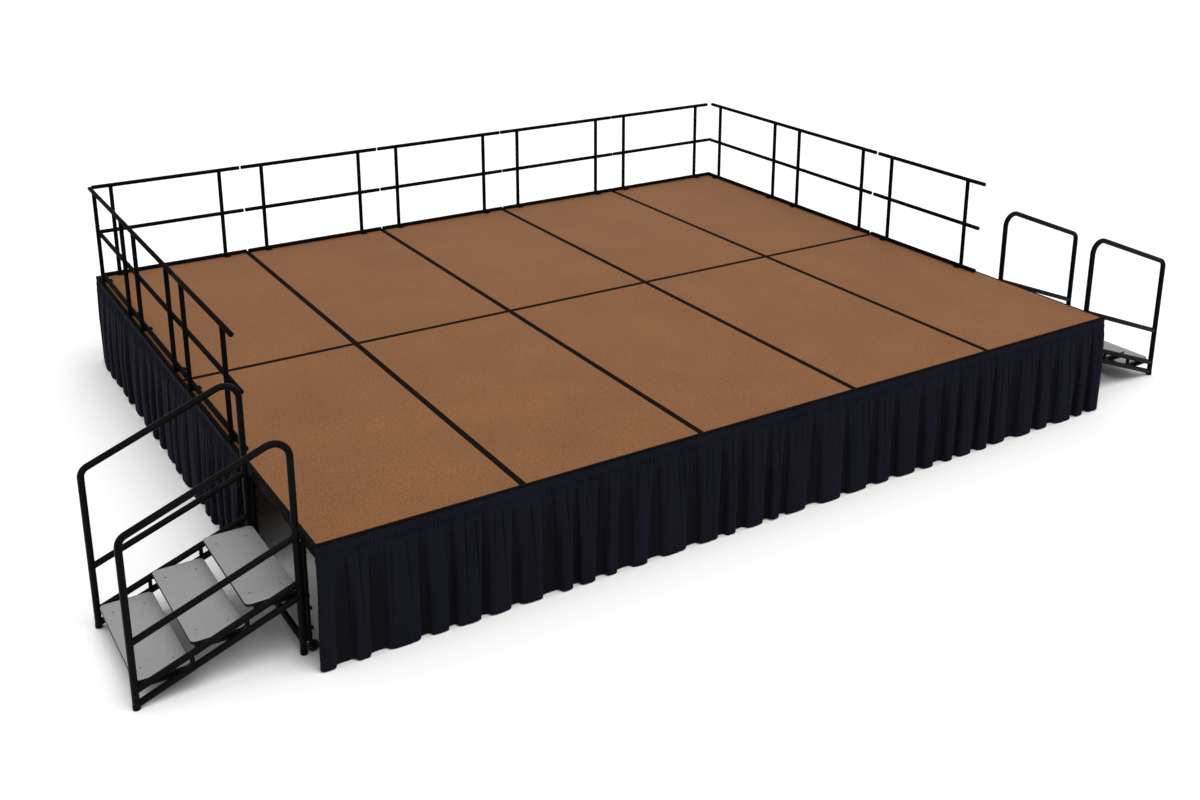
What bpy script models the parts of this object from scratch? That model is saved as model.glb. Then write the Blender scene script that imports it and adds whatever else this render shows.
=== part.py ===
"""Portable stage: ten deck units on folding leg frames, with guard rails on three sides, a
gathered cloth skirt all round and a three-tread stair with handrails at each end.

Metres, +Z up. The origin is on the floor under the middle of the deck, +X runs along the
stage to its right-hand stair, and the audience stands on the -Y side.
"""

import math

import bmesh
import bpy
from mathutils import Matrix, Vector

# Deck
UNIT_WIDTH = 1.2192
UNIT_LENGTH = 2.4384
COLUMNS = 5
ROWS = 2
DECK_HEIGHT = 0.725
BOARD_THICKNESS = 0.019
FRAME_DEPTH = 0.061
FRAME_BAND = 0.021
LEDGE_WIDTH = 0.025
LEDGE_THICKNESS = 0.020
CROSS_MEMBERS = 2
CROSS_MEMBER_WIDTH = 0.040
GAP = 0.0003

# Folding leg frames
LEG_TUBE = 0.032
LEG_SIDE_INSET = 0.125
LEG_END_INSET = 0.060
LEG_PIVOT_RADIUS = 0.015
LEG_PIVOT_DROP = 0.024
LEG_BRACE_DROP = 0.140
LEG_BRACE_TUBE = 0.025
FOOT_WIDTH = 0.044
FOOT_HEIGHT = 0.022
LUG_THICKNESS = 0.006
LUG_WALL = 0.010
LUG_TO_LEG = 0.040
BRIDGE_SHELF_LENGTH = 0.850
BRIDGE_SHELF_REACH = 0.060
BRIDGE_SHELF_THICKNESS = 0.006

# Guard rails
RAIL_TUBE_RADIUS = 0.0157
RAIL_TOP_HEIGHT = 0.735
RAIL_MID_HEIGHT = 0.375
RAIL_POST_INSET = 0.178
RAIL_JOINT_GAP = 0.016
RAIL_SIDE_JOINT_GAP = 0.038
RAIL_CORNER_SETBACK = 0.034
RAIL_CORNER_SLIDE = 0.034
RAIL_FOOT_WIDTH = 0.052
RAIL_FOOT_REACH = 0.084
RAIL_FOOT_THICKNESS = 0.007
WELD_OVERLAP = 0.0015

# Skirts
SKIRT_DROP = 0.003
SKIRT_FLOOR_CLEARANCE = 0.008
SKIRT_THICKNESS = 0.003
SKIRT_FOLD_PITCH = 0.190
SKIRT_BAND_HEIGHT = 0.085
SKIRT_BAND_DEPTH = 0.008
SKIRT_HEM_DEPTH = 0.046
SKIRT_FOLD_DRIFT = 0.30
SKIRT_DRIFT_WAVES = ((7, 0.0), (11, 1.0))
SKIRT_FULLNESS_WAVE = (5, 0.7)
SKIRT_FULLNESS_CHANGE = 0.25

# Stairs
STAIR_CENTRE_FROM_FRONT = 0.5984
STAIR_WIDTH = 0.830
STAIR_GAP = 0.030
STAIR_LENGTH = 0.869
STAIR_TUBE_RADIUS = 0.019
STAIR_RAIL_FRONT_HEIGHT = 0.950
STAIR_RAIL_REAR_HEIGHT = 1.2925
STAIR_RAIL_FRONT_BEND = 0.060
STAIR_RAIL_REAR_BEND = 0.090
STAIR_MID_FRONT_HEIGHT = 0.375
STAIR_MID_REAR_HEIGHT = 0.703
STAIR_MID_RADIUS = 0.018
STRINGER_RADIUS = 0.0185
STRINGER_FRONT_HEIGHT = 0.105
STRINGER_REAR_HEIGHT = 0.430
STRINGER_SPACING = 0.080
TREADS = 3
TREAD_DEPTH = 0.285
TREAD_PITCH = 0.2915
TREAD_THICKNESS = 0.018
TREAD_FRONT_OVERLAP = 0.007
TREAD_SIDE_CLEARANCE = 0.003
TREAD_CORNER = 0.030
TREAD_FIRST_HEIGHT = 0.142
TREAD_RISE = 0.118
CROSS_BAR_WIDTH = 0.025
CROSS_BAR_INSET = 0.025
SPACER_WIDTH = 0.020
CARRIER_THICKNESS = 0.004
CARRIER_HEIGHT = 0.018
CARRIER_INSET = 0.006
LOW_TIE_HEIGHT = 0.085
PROP_RADIUS = 0.0145
PROP_SPACING = 0.0345
PROP_FOOT_HEIGHT = 0.074
PROP_CLIP_HEIGHTS = (0.110, 0.340, 0.600)
PROP_CLIP_WIDTH = 0.018
KNOB_HEIGHTS = (0.143, 0.263)
KNOB_RADIUS = 0.011
KNOB_LENGTH = 0.010
WHEEL_RADIUS = 0.032
WHEEL_WIDTH = 0.022
WHEEL_FLOOR_CLEARANCE = 0.0025
WHEEL_BORE_RADIUS = 0.0053
AXLE_HEAD_RADIUS = 0.009
AXLE_HEAD_LENGTH = 0.004
WHEEL_BRACKET_THICKNESS = 0.004
WHEEL_BRIDGE_WIDTH = 0.015
WHEEL_BRIDGE_HEIGHT = 0.017
WHEEL_CROWN = 0.004
WHEEL_TO_POST = 0.053

# Facets round each kind of tube
TUBE_SIDES = 8
THIN_TUBE_SIDES = 6
WHEEL_SIDES = 16
BEND_STEPS = 3
CORNER_STEPS = 3
POINTS_PER_FOLD = 3
SHARP_ANGLE = 50
MERGE_DISTANCE = 0.00001

# Worked-out places
DECK_WIDTH = COLUMNS * UNIT_WIDTH
DECK_LENGTH = ROWS * UNIT_LENGTH
DECK_SIDE = DECK_WIDTH / 2
DECK_END = DECK_LENGTH / 2
FRAME_BOTTOM = DECK_HEIGHT - FRAME_DEPTH
BOARD_BOTTOM = DECK_HEIGHT - BOARD_THICKNESS
LEDGE_TOP = BOARD_BOTTOM - GAP
LEDGE_BOTTOM = LEDGE_TOP - LEDGE_THICKNESS
PIVOT_HEIGHT = FRAME_BOTTOM - LEG_PIVOT_DROP
LEG_SPREAD = UNIT_WIDTH / 2 - LEG_SIDE_INSET
RAIL_LINE = RAIL_TUBE_RADIUS
STAIR_CENTRE = -DECK_END + STAIR_CENTRE_FROM_FRONT
STAIR_OPENING = UNIT_WIDTH

PARTS = "portable_stage"
BLACK_STEEL = ("black powder-coated steel", (0.010, 0.010, 0.011), 0.38, 0.55)
BLACK_FRAME = ("black anodised frame", (0.013, 0.013, 0.013), 0.45, 0.60)
HARDBOARD = ("brown hardboard", (0.250, 0.114, 0.055), 0.62, 0.0)
GREY_TREAD = ("grey tread board", (0.300, 0.300, 0.300), 0.60, 0.0)
SKIRT_CLOTH = ("dark navy skirt cloth", (0.009, 0.009, 0.016), 0.85, 0.0)
BLACK_RUBBER = ("black wheel rubber", (0.015, 0.015, 0.015), 0.70, 0.0)


def clear_scene():
    """Remove whatever the file opened with."""
    for obj in list(bpy.data.objects):
        bpy.data.objects.remove(obj)


def parts_collection():
    """The collection that holds every finished part."""
    collection = bpy.data.collections.new(PARTS)
    bpy.context.scene.collection.children.link(collection)
    return collection


def finish_of(look):
    """A Principled material from a name, a linear colour, a roughness and a metallic value."""
    name, colour, roughness, metallic = look
    material = bpy.data.materials.get(name)
    if material is None:
        material = bpy.data.materials.new(name)
        material.use_nodes = True
        shader = material.node_tree.nodes["Principled BSDF"]
        shader.inputs["Base Color"].default_value = (*colour, 1.0)
        shader.inputs["Roughness"].default_value = roughness
        shader.inputs["Metallic"].default_value = metallic
    return material


def new_object(name, mesh):
    """A mesh object linked to the scene, so that its modifiers can be evaluated."""
    obj = bpy.data.objects.new(name, mesh)
    bpy.context.scene.collection.objects.link(obj)
    return obj


def box(low, high):
    """A block between two opposite corners."""
    bm = bmesh.new()
    bmesh.ops.create_cube(bm, size=1.0)
    low, high = Vector(low), Vector(high)
    size = high - low
    for vert in bm.verts:
        centre = (low + high) / 2
        vert.co = Vector([centre[i] + vert.co[i] * size[i] for i in range(3)])
    mesh = bpy.data.meshes.new("block")
    bm.to_mesh(mesh)
    bm.free()
    return new_object("block", mesh)


def rod(start, end, radius, sides=TUBE_SIDES, facet_turn=0.5):
    """A straight round bar between two points. At half a facet's turn its flats face
    squarely up, down and sideways."""
    start, end = Vector(start), Vector(end)
    along = end - start
    turn = along.to_track_quat("Z", "Y").to_matrix().to_4x4()
    facet = Matrix.Rotation(2 * math.pi / sides * facet_turn, 4, "Z")
    bm = bmesh.new()
    bmesh.ops.create_cone(
        bm,
        cap_ends=True,
        segments=sides,
        radius1=radius,
        radius2=radius,
        depth=along.length,
        matrix=Matrix.Translation((start + end) / 2) @ turn @ facet,
    )
    mesh = bpy.data.meshes.new("rod")
    bm.to_mesh(mesh)
    bm.free()
    return new_object("rod", mesh)


def flat_radius(radius, sides=TUBE_SIDES):
    """Distance from a faceted round bar's axis to the middle of a facet."""
    return radius * math.cos(math.pi / sides)


def bent_tube(points, radius):
    """A tube along a run of points, made as a curve with a round bevel and closed ends."""
    curve = bpy.data.curves.new("bent tube", "CURVE")
    curve.dimensions = "3D"
    curve.bevel_depth = radius
    curve.bevel_resolution = TUBE_SIDES // 2 - 2
    curve.use_fill_caps = True
    spline = curve.splines.new("POLY")
    spline.points.add(len(points) - 1)
    for point, place in zip(spline.points, points):
        point.co = (*place, 1.0)
    source = new_object("bent tube", curve)
    graph = bpy.context.evaluated_depsgraph_get()
    mesh = bpy.data.meshes.new_from_object(source.evaluated_get(graph))
    bpy.data.objects.remove(source)
    bm = bmesh.new()
    bm.from_mesh(mesh)
    bmesh.ops.remove_doubles(bm, verts=bm.verts, dist=MERGE_DISTANCE)
    bmesh.ops.recalc_face_normals(bm, faces=bm.faces)
    bm.to_mesh(mesh)
    bm.free()
    return new_object("bent tube", mesh)


def boolean(base, others, operation):
    """The mesh of a block after all the others are joined to it or cut from it."""
    group = bpy.data.collections.new("others")
    bpy.context.scene.collection.children.link(group)
    for other in others:
        bpy.context.scene.collection.objects.unlink(other)
        group.objects.link(other)
    modifier = base.modifiers.new(operation, "BOOLEAN")
    modifier.operation = operation
    modifier.operand_type = "COLLECTION"
    modifier.collection = group
    modifier.solver = "EXACT"
    graph = bpy.context.evaluated_depsgraph_get()
    mesh = bpy.data.meshes.new_from_object(base.evaluated_get(graph))
    for used in [base, *others]:
        bpy.data.objects.remove(used)
    bpy.data.collections.remove(group)
    return new_object("worked piece", mesh)


def joined(pieces):
    """One closed body out of pieces that overlap."""
    return boolean(pieces[0], pieces[1:], "UNION")


def cut(base, cutters):
    """The base less every cutter."""
    return boolean(base, cutters, "DIFFERENCE")


def mesh_of(worked, name):
    """The finished mesh of a worked piece, whose object is no longer needed."""
    mesh = worked.data
    mesh.name = name
    bpy.data.objects.remove(worked)
    return mesh


def place(collection, name, mesh, look, location=(0, 0, 0), turn=0.0):
    """A part in its own named object, set down at a point and turned about the upright."""
    obj = bpy.data.objects.new(name, mesh)
    obj.location = location
    obj.rotation_euler = (0.0, 0.0, turn)
    if not mesh.materials:
        mesh.materials.append(finish_of(look))
    collection.objects.link(obj)
    return obj


def round_off(mesh):
    """Smooth shading on round pieces, with their real edges kept sharp."""
    mesh.shade_smooth()
    mesh.set_sharp_from_angle(angle=math.radians(SHARP_ANGLE))


def column_centre(column):
    """The middle of a column of deck units along X."""
    return (column - (COLUMNS - 1) / 2) * UNIT_WIDTH


def row_centre(row):
    """The middle of a row of deck units along Y."""
    return (row - (ROWS - 1) / 2) * UNIT_LENGTH


def deck_board_mesh():
    """A deck board about its unit's centre: it drops into the frame's pocket."""
    half_width = UNIT_WIDTH / 2 - FRAME_BAND - GAP
    half_length = UNIT_LENGTH / 2 - FRAME_BAND - GAP
    board = box(
        (-half_width, -half_length, BOARD_BOTTOM), (half_width, half_length, DECK_HEIGHT)
    )
    return mesh_of(board, "deck board")


def hinge_lug(side, end_y, inward):
    """A drop plate under the ledge that a leg frame's pivot tube runs through."""
    x = side * (LEG_SPREAD - LUG_TO_LEG)
    pivot_y = end_y + inward * LEG_END_INSET
    reach = LEG_PIVOT_RADIUS + LUG_WALL
    near, far = sorted((end_y + inward * FRAME_BAND / 2, pivot_y + inward * reach))
    return box(
        (x - LUG_THICKNESS / 2, near, PIVOT_HEIGHT - reach),
        (x + LUG_THICKNESS / 2, far, LEDGE_BOTTOM + LEDGE_THICKNESS / 2),
    )


def lug_bore(end_y, inward):
    """The running hole of one leg frame's pivot tube, through both of its lugs."""
    pivot_y = end_y + inward * LEG_END_INSET
    reach = LEG_SPREAD - LUG_TO_LEG / 2
    return rod(
        (-reach, pivot_y, PIVOT_HEIGHT),
        (reach, pivot_y, PIVOT_HEIGHT),
        (LEG_PIVOT_RADIUS + GAP) / flat_radius(1.0),
        facet_turn=0.0,
    )


def bridge_shelf():
    """A shelf under the front end of a rear unit, on which the front unit's end rests."""
    end_y = -UNIT_LENGTH / 2
    half = BRIDGE_SHELF_LENGTH / 2
    top = FRAME_BOTTOM - GAP
    shelf = box(
        (-half, end_y - BRIDGE_SHELF_REACH, top - BRIDGE_SHELF_THICKNESS),
        (half, end_y + FRAME_BAND + BRIDGE_SHELF_THICKNESS, top),
    )
    riser = box(
        (-half, end_y + FRAME_BAND / 2, top - BRIDGE_SHELF_THICKNESS / 2),
        (half, end_y + FRAME_BAND + BRIDGE_SHELF_THICKNESS, LEDGE_TOP - LEDGE_THICKNESS / 2),
    )
    return [shelf, riser]


def deck_frame_mesh(front_row):
    """A deck unit's frame about its own centre: rim, ledge, cross members and hinge lugs."""
    half_width = UNIT_WIDTH / 2 - GAP / 2
    half_length = UNIT_LENGTH / 2 - GAP / 2
    pocket_x = UNIT_WIDTH / 2 - FRAME_BAND
    pocket_y = UNIT_LENGTH / 2 - FRAME_BAND
    window_x = pocket_x - LEDGE_WIDTH
    window_y = pocket_y - LEDGE_WIDTH
    beyond = FRAME_DEPTH
    rim = box(
        (-half_width, -half_length, FRAME_BOTTOM), (half_width, half_length, DECK_HEIGHT)
    )
    cutters = [
        box((-pocket_x, -pocket_y, LEDGE_TOP), (pocket_x, pocket_y, DECK_HEIGHT + beyond)),
        box((-pocket_x, -pocket_y, FRAME_BOTTOM - beyond), (pocket_x, pocket_y, LEDGE_BOTTOM)),
    ]
    windows = CROSS_MEMBERS + 1
    clear = (2 * window_y - CROSS_MEMBERS * CROSS_MEMBER_WIDTH) / windows
    for index in range(windows):
        start = -window_y + index * (clear + CROSS_MEMBER_WIDTH)
        cutters.append(
            box(
                (-window_x, start, LEDGE_BOTTOM - LEDGE_THICKNESS / 2),
                (window_x, start + clear, LEDGE_TOP + LEDGE_THICKNESS / 2),
            )
        )
    frame = cut(rim, cutters)
    front_end, rear_end = -UNIT_LENGTH / 2, UNIT_LENGTH / 2
    hinges = [(front_end, 1)] if front_row else [(front_end, 1), (rear_end, -1)]
    additions = [hinge_lug(side, *hinge) for hinge in hinges for side in (-1, 1)]
    if not front_row:
        additions += bridge_shelf()
    frame = joined([frame, *additions])
    frame = cut(frame, [lug_bore(*hinge) for hinge in hinges])
    return mesh_of(frame, "front deck frame" if front_row else "rear deck frame")


def leg_frame_mesh():
    """A leg frame about its pivot: pivot tube, two square legs, a brace and two feet."""
    floor = -PIVOT_HEIGHT
    half = LEG_TUBE / 2
    pieces = [rod((-LEG_SPREAD, 0, 0), (LEG_SPREAD, 0, 0), LEG_PIVOT_RADIUS)]
    for side in (-1, 1):
        x = side * LEG_SPREAD
        foot = FOOT_WIDTH / 2
        pieces.append(box((x - half, -half, floor + FOOT_HEIGHT / 2), (x + half, half, half)))
        pieces.append(box((x - foot, -foot, floor), (x + foot, foot, floor + FOOT_HEIGHT)))
    brace = LEG_BRACE_TUBE / 2
    pieces.append(
        box(
            (-LEG_SPREAD, -brace, -LEG_BRACE_DROP - brace),
            (LEG_SPREAD, brace, -LEG_BRACE_DROP + brace),
        )
    )
    return mesh_of(joined(pieces), "leg frame")


def rail_inner_line():
    """How far inboard of the deck's edge the mid rail and the toe rail run."""
    return RAIL_LINE + 2 * flat_radius(RAIL_TUBE_RADIUS) - WELD_OVERLAP


def rail_end_gap(end, line, butts):
    """How far a rail's tube stops short of its bay: at a joint, at a corner or nowhere."""
    if end == "free":
        return 0.0
    if end == "joint":
        return (RAIL_SIDE_JOINT_GAP if butts else RAIL_JOINT_GAP) / 2
    if butts and line > RAIL_LINE:
        return line + RAIL_TUBE_RADIUS + GAP
    return RAIL_CORNER_SETBACK


def guard_rail_mesh(length, start, end, butts, slide=0.0):
    """A guard rail about its middle, +Y inboard, z = 0 on the deck's surface. Its ends are
    free, at a joint or at a corner, where the side rails' lower tubes butt the back rail.
    Its posts and its top tube's start are slid along from the corner."""
    inner = rail_inner_line()
    toe_height = flat_radius(RAIL_TUBE_RADIUS) + GAP
    pieces = []
    for line, height in (
        (RAIL_LINE, RAIL_TOP_HEIGHT),
        (inner, RAIL_MID_HEIGHT),
        (inner, toe_height),
    ):
        low = -length / 2 + rail_end_gap(start, line, butts)
        low += slide if line == RAIL_LINE else 0.0
        high = length / 2 - rail_end_gap(end, line, butts)
        pieces.append(rod((low, line, height), (high, line, height), RAIL_TUBE_RADIUS))
    foot_top = GAP + RAIL_FOOT_THICKNESS
    half_foot = RAIL_FOOT_WIDTH / 2
    bays = max(1, round(length / UNIT_WIDTH))
    bay_length = length / bays
    for bay in range(bays):
        bay_start = -length / 2 + bay * bay_length + slide
        for x in (bay_start + RAIL_POST_INSET, bay_start + bay_length - RAIL_POST_INSET):
            post_foot = (x, RAIL_LINE, foot_top - RAIL_FOOT_THICKNESS / 2)
            pieces.append(rod(post_foot, (x, RAIL_LINE, RAIL_TOP_HEIGHT), RAIL_TUBE_RADIUS))
            pieces.append(
                box((x - half_foot, GAP, GAP), (x + half_foot, RAIL_FOOT_REACH, foot_top))
            )
    mesh = mesh_of(joined(pieces), "guard rail")
    round_off(mesh)
    return mesh


def skirt_sheet_points(length):
    """Rows of points from top to hem. Each fold has the same number of points, and the
    folds' widths and depths drift slowly along the cloth, as gathered cloth hangs."""
    folds = max(2, round(length / SKIRT_FOLD_PITCH))
    steps = folds * POINTS_PER_FOLD
    top = DECK_HEIGHT - SKIRT_DROP
    rows = [
        (top, SKIRT_BAND_DEPTH),
        (top - SKIRT_BAND_HEIGHT, SKIRT_BAND_DEPTH * 2),
        (SKIRT_FLOOR_CLEARANCE, SKIRT_HEM_DEPTH),
    ]
    points = []
    for height, depth in rows:
        row = []
        for step in range(steps + 1):
            share = step / steps
            turn = 2 * math.pi * share
            drift = sum(math.sin(waves * turn + shift) for waves, shift in SKIRT_DRIFT_WAVES)
            drift *= SKIRT_FOLD_DRIFT * SKIRT_FOLD_PITCH / 2 * math.sin(math.pi * share)
            phase = 2 * math.pi * step / POINTS_PER_FOLD
            waves, shift = SKIRT_FULLNESS_WAVE
            fullness = 1 - SKIRT_FULLNESS_CHANGE * (1 - math.sin(waves * turn + shift))
            out = (1 - math.cos(phase)) / 2 * depth * fullness
            row.append((-length / 2 + share * length + drift, -GAP - out, height))
        points.append(row)
    return points


def skirt_mesh(length):
    """A gathered skirt about its middle: it hangs on the -Y side of y = 0."""
    rows = skirt_sheet_points(length)
    across = len(rows[0])
    flat = [point for row in rows for point in row]
    faces = [
        (r * across + c, r * across + c + 1, (r + 1) * across + c + 1, (r + 1) * across + c)
        for r in range(len(rows) - 1)
        for c in range(across - 1)
    ]
    mesh = bpy.data.meshes.new("skirt sheet")
    mesh.from_pydata(flat, [], faces)
    mesh.update()
    sheet = new_object("skirt sheet", mesh)
    wall = sheet.modifiers.new("Cloth thickness", "SOLIDIFY")
    wall.thickness = SKIRT_THICKNESS
    wall.offset = -1.0
    wall.use_even_offset = True
    graph = bpy.context.evaluated_depsgraph_get()
    solid = bpy.data.meshes.new_from_object(sheet.evaluated_get(graph))
    bpy.data.objects.remove(sheet)
    solid.name = "skirt"
    return solid


def arc_points(corner, before, after, radius):
    """Points round a bend of given radius at the corner between two straight runs."""
    corner, before, after = Vector(corner), Vector(before), Vector(after)
    back = (before - corner).normalized()
    ahead = (after - corner).normalized()
    half_angle = back.angle(ahead) / 2
    tangent = radius / math.tan(half_angle)
    centre = corner + (back + ahead).normalized() * radius / math.sin(half_angle)
    start = corner + back * tangent - centre
    end = corner + ahead * tangent - centre
    axis = start.cross(end).normalized()
    sweep = start.angle(end)
    return [
        centre + Matrix.Rotation(sweep * step / BEND_STEPS, 3, axis) @ start
        for step in range(BEND_STEPS + 1)
    ]


def stair_rear():
    """X of the stair's rear posts, measured out from the deck's side."""
    return STAIR_GAP


def stair_front():
    """X of the stair's front posts."""
    return STAIR_GAP + STAIR_LENGTH


def stringer_slope():
    """Rise of the stringers for each metre towards the stage."""
    return (STRINGER_REAR_HEIGHT - STRINGER_FRONT_HEIGHT) / STAIR_LENGTH


def stringer_x(height, drop):
    """Where a stringer, or one set below it by a drop, passes a height."""
    return stair_front() - (height + drop - STRINGER_FRONT_HEIGHT) / stringer_slope()


def tread_top(index):
    """Height of a tread's upper face."""
    return TREAD_FIRST_HEIGHT + index * TREAD_RISE


def tread_span(index):
    """Rear and front edges of a tread."""
    front = stair_front() - TREAD_FRONT_OVERLAP - index * TREAD_PITCH
    return front - TREAD_DEPTH, front


def handrail_loop(y):
    """The bent tube of one side: front post, sloping handrail, arch and rear post."""
    front, rear = stair_front(), stair_rear()
    front_foot = (front, y, 0.0)
    front_corner = (front, y, STAIR_RAIL_FRONT_HEIGHT)
    rear_corner = (rear, y, STAIR_RAIL_REAR_HEIGHT)
    rear_foot = (rear, y, 0.0)
    points = [front_foot]
    points += arc_points(front_corner, front_foot, rear_corner, STAIR_RAIL_FRONT_BEND)
    points += arc_points(rear_corner, front_corner, rear_foot, STAIR_RAIL_REAR_BEND)
    points.append(rear_foot)
    return bent_tube(points, STAIR_TUBE_RADIUS)


def side_frame_pieces(y):
    """One side of a stair: handrail loop, mid rail, two stringers and their spacers."""
    front, rear = stair_front(), stair_rear()
    pieces = [handrail_loop(y)]
    pieces.append(
        rod((front, y, STAIR_MID_FRONT_HEIGHT), (rear, y, STAIR_MID_REAR_HEIGHT), STAIR_MID_RADIUS)
    )
    for drop in (0.0, STRINGER_SPACING):
        pieces.append(
            rod(
                (front, y, STRINGER_FRONT_HEIGHT - drop),
                (rear, y, STRINGER_REAR_HEIGHT - drop),
                STRINGER_RADIUS,
                THIN_TUBE_SIDES,
            )
        )
    for index in range(TREADS - 1):
        x = tread_span(index)[0]
        upper = STRINGER_FRONT_HEIGHT + (front - x) * stringer_slope()
        half = SPACER_WIDTH / 2
        pieces.append(
            box((x - half, y - half, upper - STRINGER_SPACING), (x + half, y + half, upper))
        )
    return pieces


def tread_support_pieces(index, y_inner):
    """Two square cross bars and two side carriers under a tread."""
    bar = CROSS_BAR_WIDTH / 2
    top = tread_top(index) - TREAD_THICKNESS - GAP
    centre_z = top - bar
    half = STAIR_WIDTH / 2
    front_x = min(stringer_x(centre_z, 0.0), tread_span(index)[1] - CROSS_BAR_INSET)
    rear_x = max(stringer_x(centre_z, STRINGER_SPACING), stair_rear())
    pieces = []
    for x in (front_x, rear_x):
        pieces.append(box((x - bar, -half, top - 2 * bar), (x + bar, half, top)))
    for side in (-1, 1):
        outer = side * y_inner
        low_y, high_y = sorted((outer, outer - side * CARRIER_THICKNESS))
        pieces.append(
            box(
                (rear_x, low_y, top - GAP - CARRIER_HEIGHT),
                (front_x, high_y, top - GAP),
            )
        )
    return pieces


def prop_x():
    """X of the second tubes, just behind the rear posts, that carry the wheels."""
    return stair_rear() - PROP_SPACING


def wheel_x():
    """X of the transport wheels."""
    return stair_rear() - WHEEL_TO_POST


def wheel_height():
    """Height of the wheels' axles."""
    return WHEEL_RADIUS + WHEEL_FLOOR_CLEARANCE


def prop_pieces(side):
    """A second tube clamped behind a rear post, with its knobs. It ends above the wheel, and a
    bracket plate on its outer side holds the axle."""
    y = side * STAIR_WIDTH / 2
    x = prop_x()
    top = FRAME_BOTTOM - GAP
    pieces = [rod((x, y, PROP_FOOT_HEIGHT), (x, y, top), PROP_RADIUS, THIN_TUBE_SIDES)]
    for height in PROP_CLIP_HEIGHTS:
        clip = PROP_CLIP_WIDTH / 2
        pieces.append(box((x, y - clip, height - clip), (stair_rear(), y + clip, height + clip)))
    for height in KNOB_HEIGHTS:
        pieces.append(
            rod((x, y, height), (x - PROP_RADIUS - KNOB_LENGTH, y, height), KNOB_RADIUS)
        )
    reach = AXLE_HEAD_RADIUS
    bridge = WHEEL_BRIDGE_WIDTH / 2
    plate = y + side * (WHEEL_WIDTH / 2 + GAP)
    middle = plate + side * WHEEL_BRACKET_THICKNESS / 2
    low_y, high_y = sorted((plate, plate + side * WHEEL_BRACKET_THICKNESS))
    pieces.append(
        box(
            (wheel_x() - reach, low_y, wheel_height() - reach),
            (x, high_y, PROP_FOOT_HEIGHT + WHEEL_BRIDGE_HEIGHT),
        )
    )
    near, far = sorted((y, middle))
    pieces.append(
        box(
            (x - bridge, near, PROP_FOOT_HEIGHT + GAP),
            (x + bridge, far, PROP_FOOT_HEIGHT + WHEEL_BRIDGE_HEIGHT - GAP),
        )
    )
    end = y - side * (WHEEL_WIDTH / 2 + GAP)
    inner_end = end - side * AXLE_HEAD_LENGTH
    pieces.append(
        rod(
            (wheel_x(), middle, wheel_height()),
            (wheel_x(), (end + inner_end) / 2, wheel_height()),
            WHEEL_BORE_RADIUS - GAP,
        )
    )
    pieces.append(
        rod((wheel_x(), end, wheel_height()), (wheel_x(), inner_end, wheel_height()), AXLE_HEAD_RADIUS)
    )
    return pieces


def stair_frame_mesh():
    """The welded stair frame about its middle, x measured out from the deck's side."""
    half = STAIR_WIDTH / 2
    pieces = []
    for y in (-half, half):
        pieces += side_frame_pieces(y)
    carrier_line = half - CARRIER_INSET
    for index in range(TREADS):
        pieces += tread_support_pieces(index, carrier_line)
    tie_ends = [(stair_rear(), y, LOW_TIE_HEIGHT) for y in (-half, half)]
    pieces.append(rod(*tie_ends, STRINGER_RADIUS, THIN_TUBE_SIDES))
    for side in (-1, 1):
        pieces += prop_pieces(side)
    mesh = mesh_of(joined(pieces), "stair frame")
    round_off(mesh)
    return mesh


def tread_mesh():
    """A tread board with rounded corners, about its own rear edge and the stair's middle."""
    half = STAIR_WIDTH / 2 - STAIR_TUBE_RADIUS - TREAD_SIDE_CLEARANCE
    curve = bpy.data.curves.new("tread outline", "CURVE")
    curve.dimensions = "2D"
    curve.fill_mode = "BOTH"
    curve.extrude = TREAD_THICKNESS / 2
    outline = []
    corners = [(0, -half), (TREAD_DEPTH, -half), (TREAD_DEPTH, half), (0, half)]
    for index, (x, y) in enumerate(corners):
        centre_x = x + (TREAD_CORNER if x == 0 else -TREAD_CORNER)
        centre_y = y + (TREAD_CORNER if y < 0 else -TREAD_CORNER)
        start = math.pi + index * math.pi / 2
        for step in range(CORNER_STEPS + 1):
            angle = start + step / CORNER_STEPS * math.pi / 2
            outline.append(
                (
                    centre_x + TREAD_CORNER * math.cos(angle),
                    centre_y + TREAD_CORNER * math.sin(angle),
                )
            )
    spline = curve.splines.new("POLY")
    spline.points.add(len(outline) - 1)
    for point, (x, y) in zip(spline.points, outline):
        point.co = (x, y, 0.0, 1.0)
    spline.use_cyclic_u = True
    source = new_object("tread outline", curve)
    graph = bpy.context.evaluated_depsgraph_get()
    mesh = bpy.data.meshes.new_from_object(source.evaluated_get(graph))
    bpy.data.objects.remove(source)
    bm = bmesh.new()
    bm.from_mesh(mesh)
    bmesh.ops.remove_doubles(bm, verts=bm.verts, dist=MERGE_DISTANCE)
    bmesh.ops.recalc_face_normals(bm, faces=bm.faces)
    bm.to_mesh(mesh)
    bm.free()
    mesh.name = "tread"
    return mesh


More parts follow.
